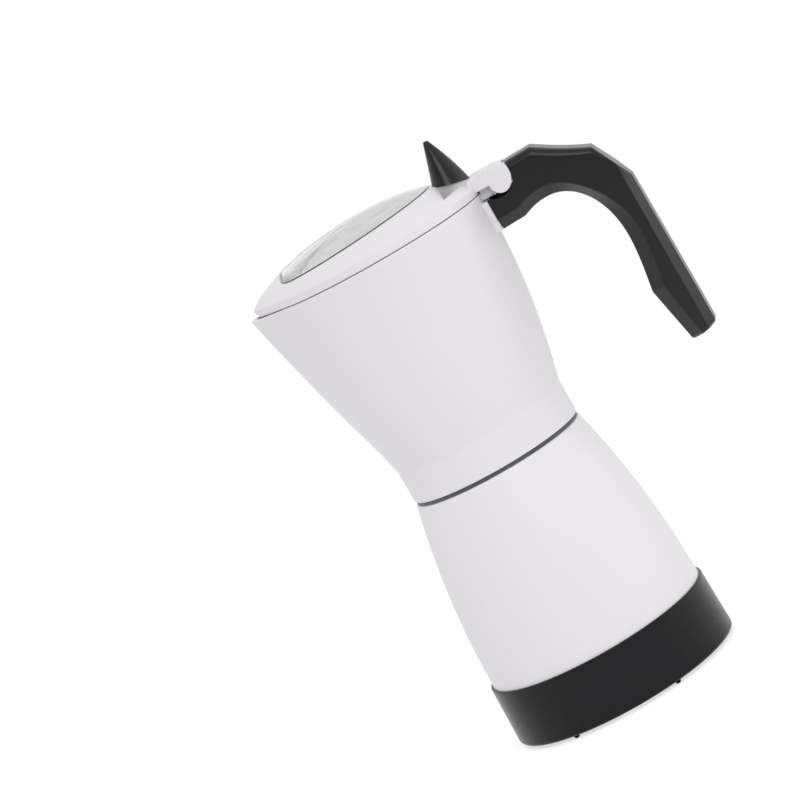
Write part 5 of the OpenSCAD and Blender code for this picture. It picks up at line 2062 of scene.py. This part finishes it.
@dataclass
class Studio:
    """Camera, light and floor.

    Attributes:
        distance: Distance from the axis to the camera, on plan.
        turn: Angle by which the camera stands right of -Y, in degrees.
        height: Height of the camera.
        aim: Point that is placed in the picture.
        aim_px: Pixel of the picture that shows that point.
        picture_px: Width of the picture.
        focal_px: Focal length in pixels.
        roll: Angle by which the picture leans, in degrees.
        sensor: Width of the sensor, in millimetres.
        clip: Nearest and farthest distance that the camera sees.
        sky: Strength of the even light.
        front_dim: How much dimmer the room in front of the pot looks in reflections.
        front_range: Y of the directions between which that dimming sets in.
        floor_r: Radius of the floor.
        floor_sides: Number of sides of the floor.
        floor_tones: Grey of the floor in other light, and as it is seen.
        floor_glow: How much the floor is lifted toward white where it is seen.
        lamps: Lamps of the studio.
    """

    distance: float = 1.5
    turn: float = 7.0
    height: float = 0.338
    aim: Spot = (0.0, 0.0, 0.11)
    aim_px: Point = (498.2, 460.2)
    picture_px: float = 800.0
    focal_px: float = 3649.0
    roll: float = 30.0
    sensor: float = 36.0
    clip: Point = (0.05, 50.0)
    sky: float = 0.88
    front_dim: float = 0.7
    front_range: Point = (-0.25, -0.85)
    floor_r: float = 1.2
    floor_sides: int = 96
    floor_tones: Point = (0.8, 0.5)
    floor_glow: float = 0.66
    lamps: tuple[Lamp, ...] = (Lamp("side", (1.3, 0.1, 0.15), (0.05, 0.0, 0.1), 0.9, 2.2),
                               Lamp("front", (0.25, -0.9, 0.6), (0.0, 0.0, -0.08), 0.5, 0.295, 50.0))

    def camera(self) -> None:
        """Place the camera, lean it and turn it until the aim shows at its pixel."""
        turn, roll = math.radians(self.turn), math.radians(self.roll)
        spot = Vector((self.distance * math.sin(turn), -self.distance * math.cos(turn), self.height))
        ahead = (Vector(self.aim) - spot).normalized()
        right = ahead.cross(Vector((0, 0, 1))).normalized()
        up = right.cross(ahead)
        lean_right = right * math.cos(roll) - up * math.sin(roll)
        lean_up = up * math.cos(roll) + right * math.sin(roll)
        basis = Matrix((lean_right, lean_up, -ahead)).transposed()
        middle = self.picture_px / 2
        across, upward = self.aim_px[0] - middle, middle - self.aim_px[1]
        seen = Vector((across / self.focal_px, upward / self.focal_px, -1))
        basis = basis @ seen.rotation_difference(Vector((0, 0, -1))).to_matrix()
        data = bpy.data.cameras.new("camera")
        data.sensor_width = self.sensor
        data.lens = self.focal_px / self.picture_px * self.sensor
        data.clip_start, data.clip_end = self.clip
        camera = bpy.data.objects.new("camera", data)
        camera.matrix_world = Matrix.Translation(spot) @ basis.to_4x4()
        bpy.context.scene.collection.objects.link(camera)
        bpy.context.scene.camera = camera

    @staticmethod
    def seen_rays(nodes: Nodes, links: Links) -> Socket:
        """Socket that is 1 for rays from the camera, from gloss and through glass.

        Args:
            nodes: Nodes of a material or world.
            links: Links of that material or world.

        Returns:
            The socket.
        """
        path = nodes.new("ShaderNodeLightPath")
        total = path.outputs["Is Camera Ray"]
        for kind in ("Is Glossy Ray", "Is Transmission Ray"):
            most = nodes.new("ShaderNodeMath")
            most.operation = "MAXIMUM"
            links.new(total, most.inputs[0])
            links.new(path.outputs[kind], most.inputs[1])
            total = most.outputs["Value"]
        return total

    def room(self, nodes: Nodes, links: Links) -> Socket:
        """Strength of the white room, which is dimmer in front for reflections.

        Args:
            nodes: Nodes of the world.
            links: Links of the world.

        Returns:
            The socket with the strength, 1 for all other rays.
        """
        parts = nodes.new("ShaderNodeSeparateXYZ")
        links.new(nodes.new("ShaderNodeTexCoord").outputs["Generated"], parts.inputs["Vector"])
        front = nodes.new("ShaderNodeMapRange")
        front.inputs["From Min"].default_value, front.inputs["From Max"].default_value = self.front_range
        front.inputs["To Max"].default_value = self.front_dim
        links.new(parts.outputs["Y"], front.inputs["Value"])
        dim = nodes.new("ShaderNodeMath")
        dim.operation = "MULTIPLY"
        links.new(front.outputs["Result"], dim.inputs[0])
        links.new(nodes.new("ShaderNodeLightPath").outputs["Is Glossy Ray"], dim.inputs[1])
        rest = nodes.new("ShaderNodeMath")
        rest.operation = "SUBTRACT"
        rest.inputs[0].default_value = 1.0
        links.new(dim.outputs["Value"], rest.inputs[1])
        return rest.outputs["Value"]

    def world(self) -> None:
        """Even pale light, with plain white behind the pot."""
        world = bpy.data.worlds.new("studio")
        bpy.context.scene.world = world
        world.use_nodes = True
        nodes, links = world.node_tree.nodes, world.node_tree.links
        nodes.clear()
        light, white = nodes.new("ShaderNodeBackground"), nodes.new("ShaderNodeBackground")
        light.inputs["Color"].default_value = WHITE
        light.inputs["Strength"].default_value = self.sky
        white.inputs["Color"].default_value = WHITE
        links.new(self.room(nodes, links), white.inputs["Strength"])
        both = nodes.new("ShaderNodeMixShader")
        links.new(self.seen_rays(nodes, links), both.inputs["Fac"])
        links.new(light.outputs["Background"], both.inputs[1])
        links.new(white.outputs["Background"], both.inputs[2])
        out = nodes.new("ShaderNodeOutputWorld")
        links.new(both.outputs["Shader"], out.inputs["Surface"])

    def floor(self) -> None:
        """Pale floor that shows white and keeps the pot's shadow."""
        bpy.ops.object.select_all(action="DESELECT")
        bpy.ops.mesh.primitive_circle_add(vertices=self.floor_sides, radius=self.floor_r, fill_type="NGON")
        floor = named("floor")
        paint = bpy.data.materials.new("floor_paint")
        paint.use_nodes = True
        nodes, links = paint.node_tree.nodes, paint.node_tree.links
        nodes.clear()
        plain, shown = nodes.new("ShaderNodeBsdfDiffuse"), nodes.new("ShaderNodeBsdfDiffuse")
        for shader, tone in zip((plain, shown), self.floor_tones):
            shader.inputs["Color"].default_value = (tone, tone, tone, 1)
        glow = nodes.new("ShaderNodeEmission")
        glow.inputs["Strength"].default_value = self.floor_glow
        lifted, both = nodes.new("ShaderNodeAddShader"), nodes.new("ShaderNodeMixShader")
        links.new(shown.outputs["BSDF"], lifted.inputs[0])
        links.new(glow.outputs["Emission"], lifted.inputs[1])
        links.new(self.seen_rays(nodes, links), both.inputs["Fac"])
        links.new(plain.outputs["BSDF"], both.inputs[1])
        links.new(lifted.outputs["Shader"], both.inputs[2])
        out = nodes.new("ShaderNodeOutputMaterial")
        links.new(both.outputs["Shader"], out.inputs["Surface"])
        floor.data.materials.append(paint)

    def build(self) -> None:
        """Set up the studio."""
        bpy.context.scene.view_settings.view_transform = "Standard"
        self.camera()
        self.world()
        self.floor()
        for lamp in self.lamps:
            lamp.hang()


def main() -> None:
    """Build the studio and the pot, piece by piece."""
    logging.basicConfig(level=logging.INFO, format="%(name)s: %(message)s")
    Studio().build()
    paints = Paintbox()
    paints.coat_packed()
    chamber = Chamber()
    lid = Lid(chamber)
    for part in (Base(), Boiler(), Valve(), Seam(), chamber, lid, Handle(chamber, lid)):
        part.build(paints)
        LOG.info("built %s", type(part).__name__)


if __name__ == "__main__":
    main()
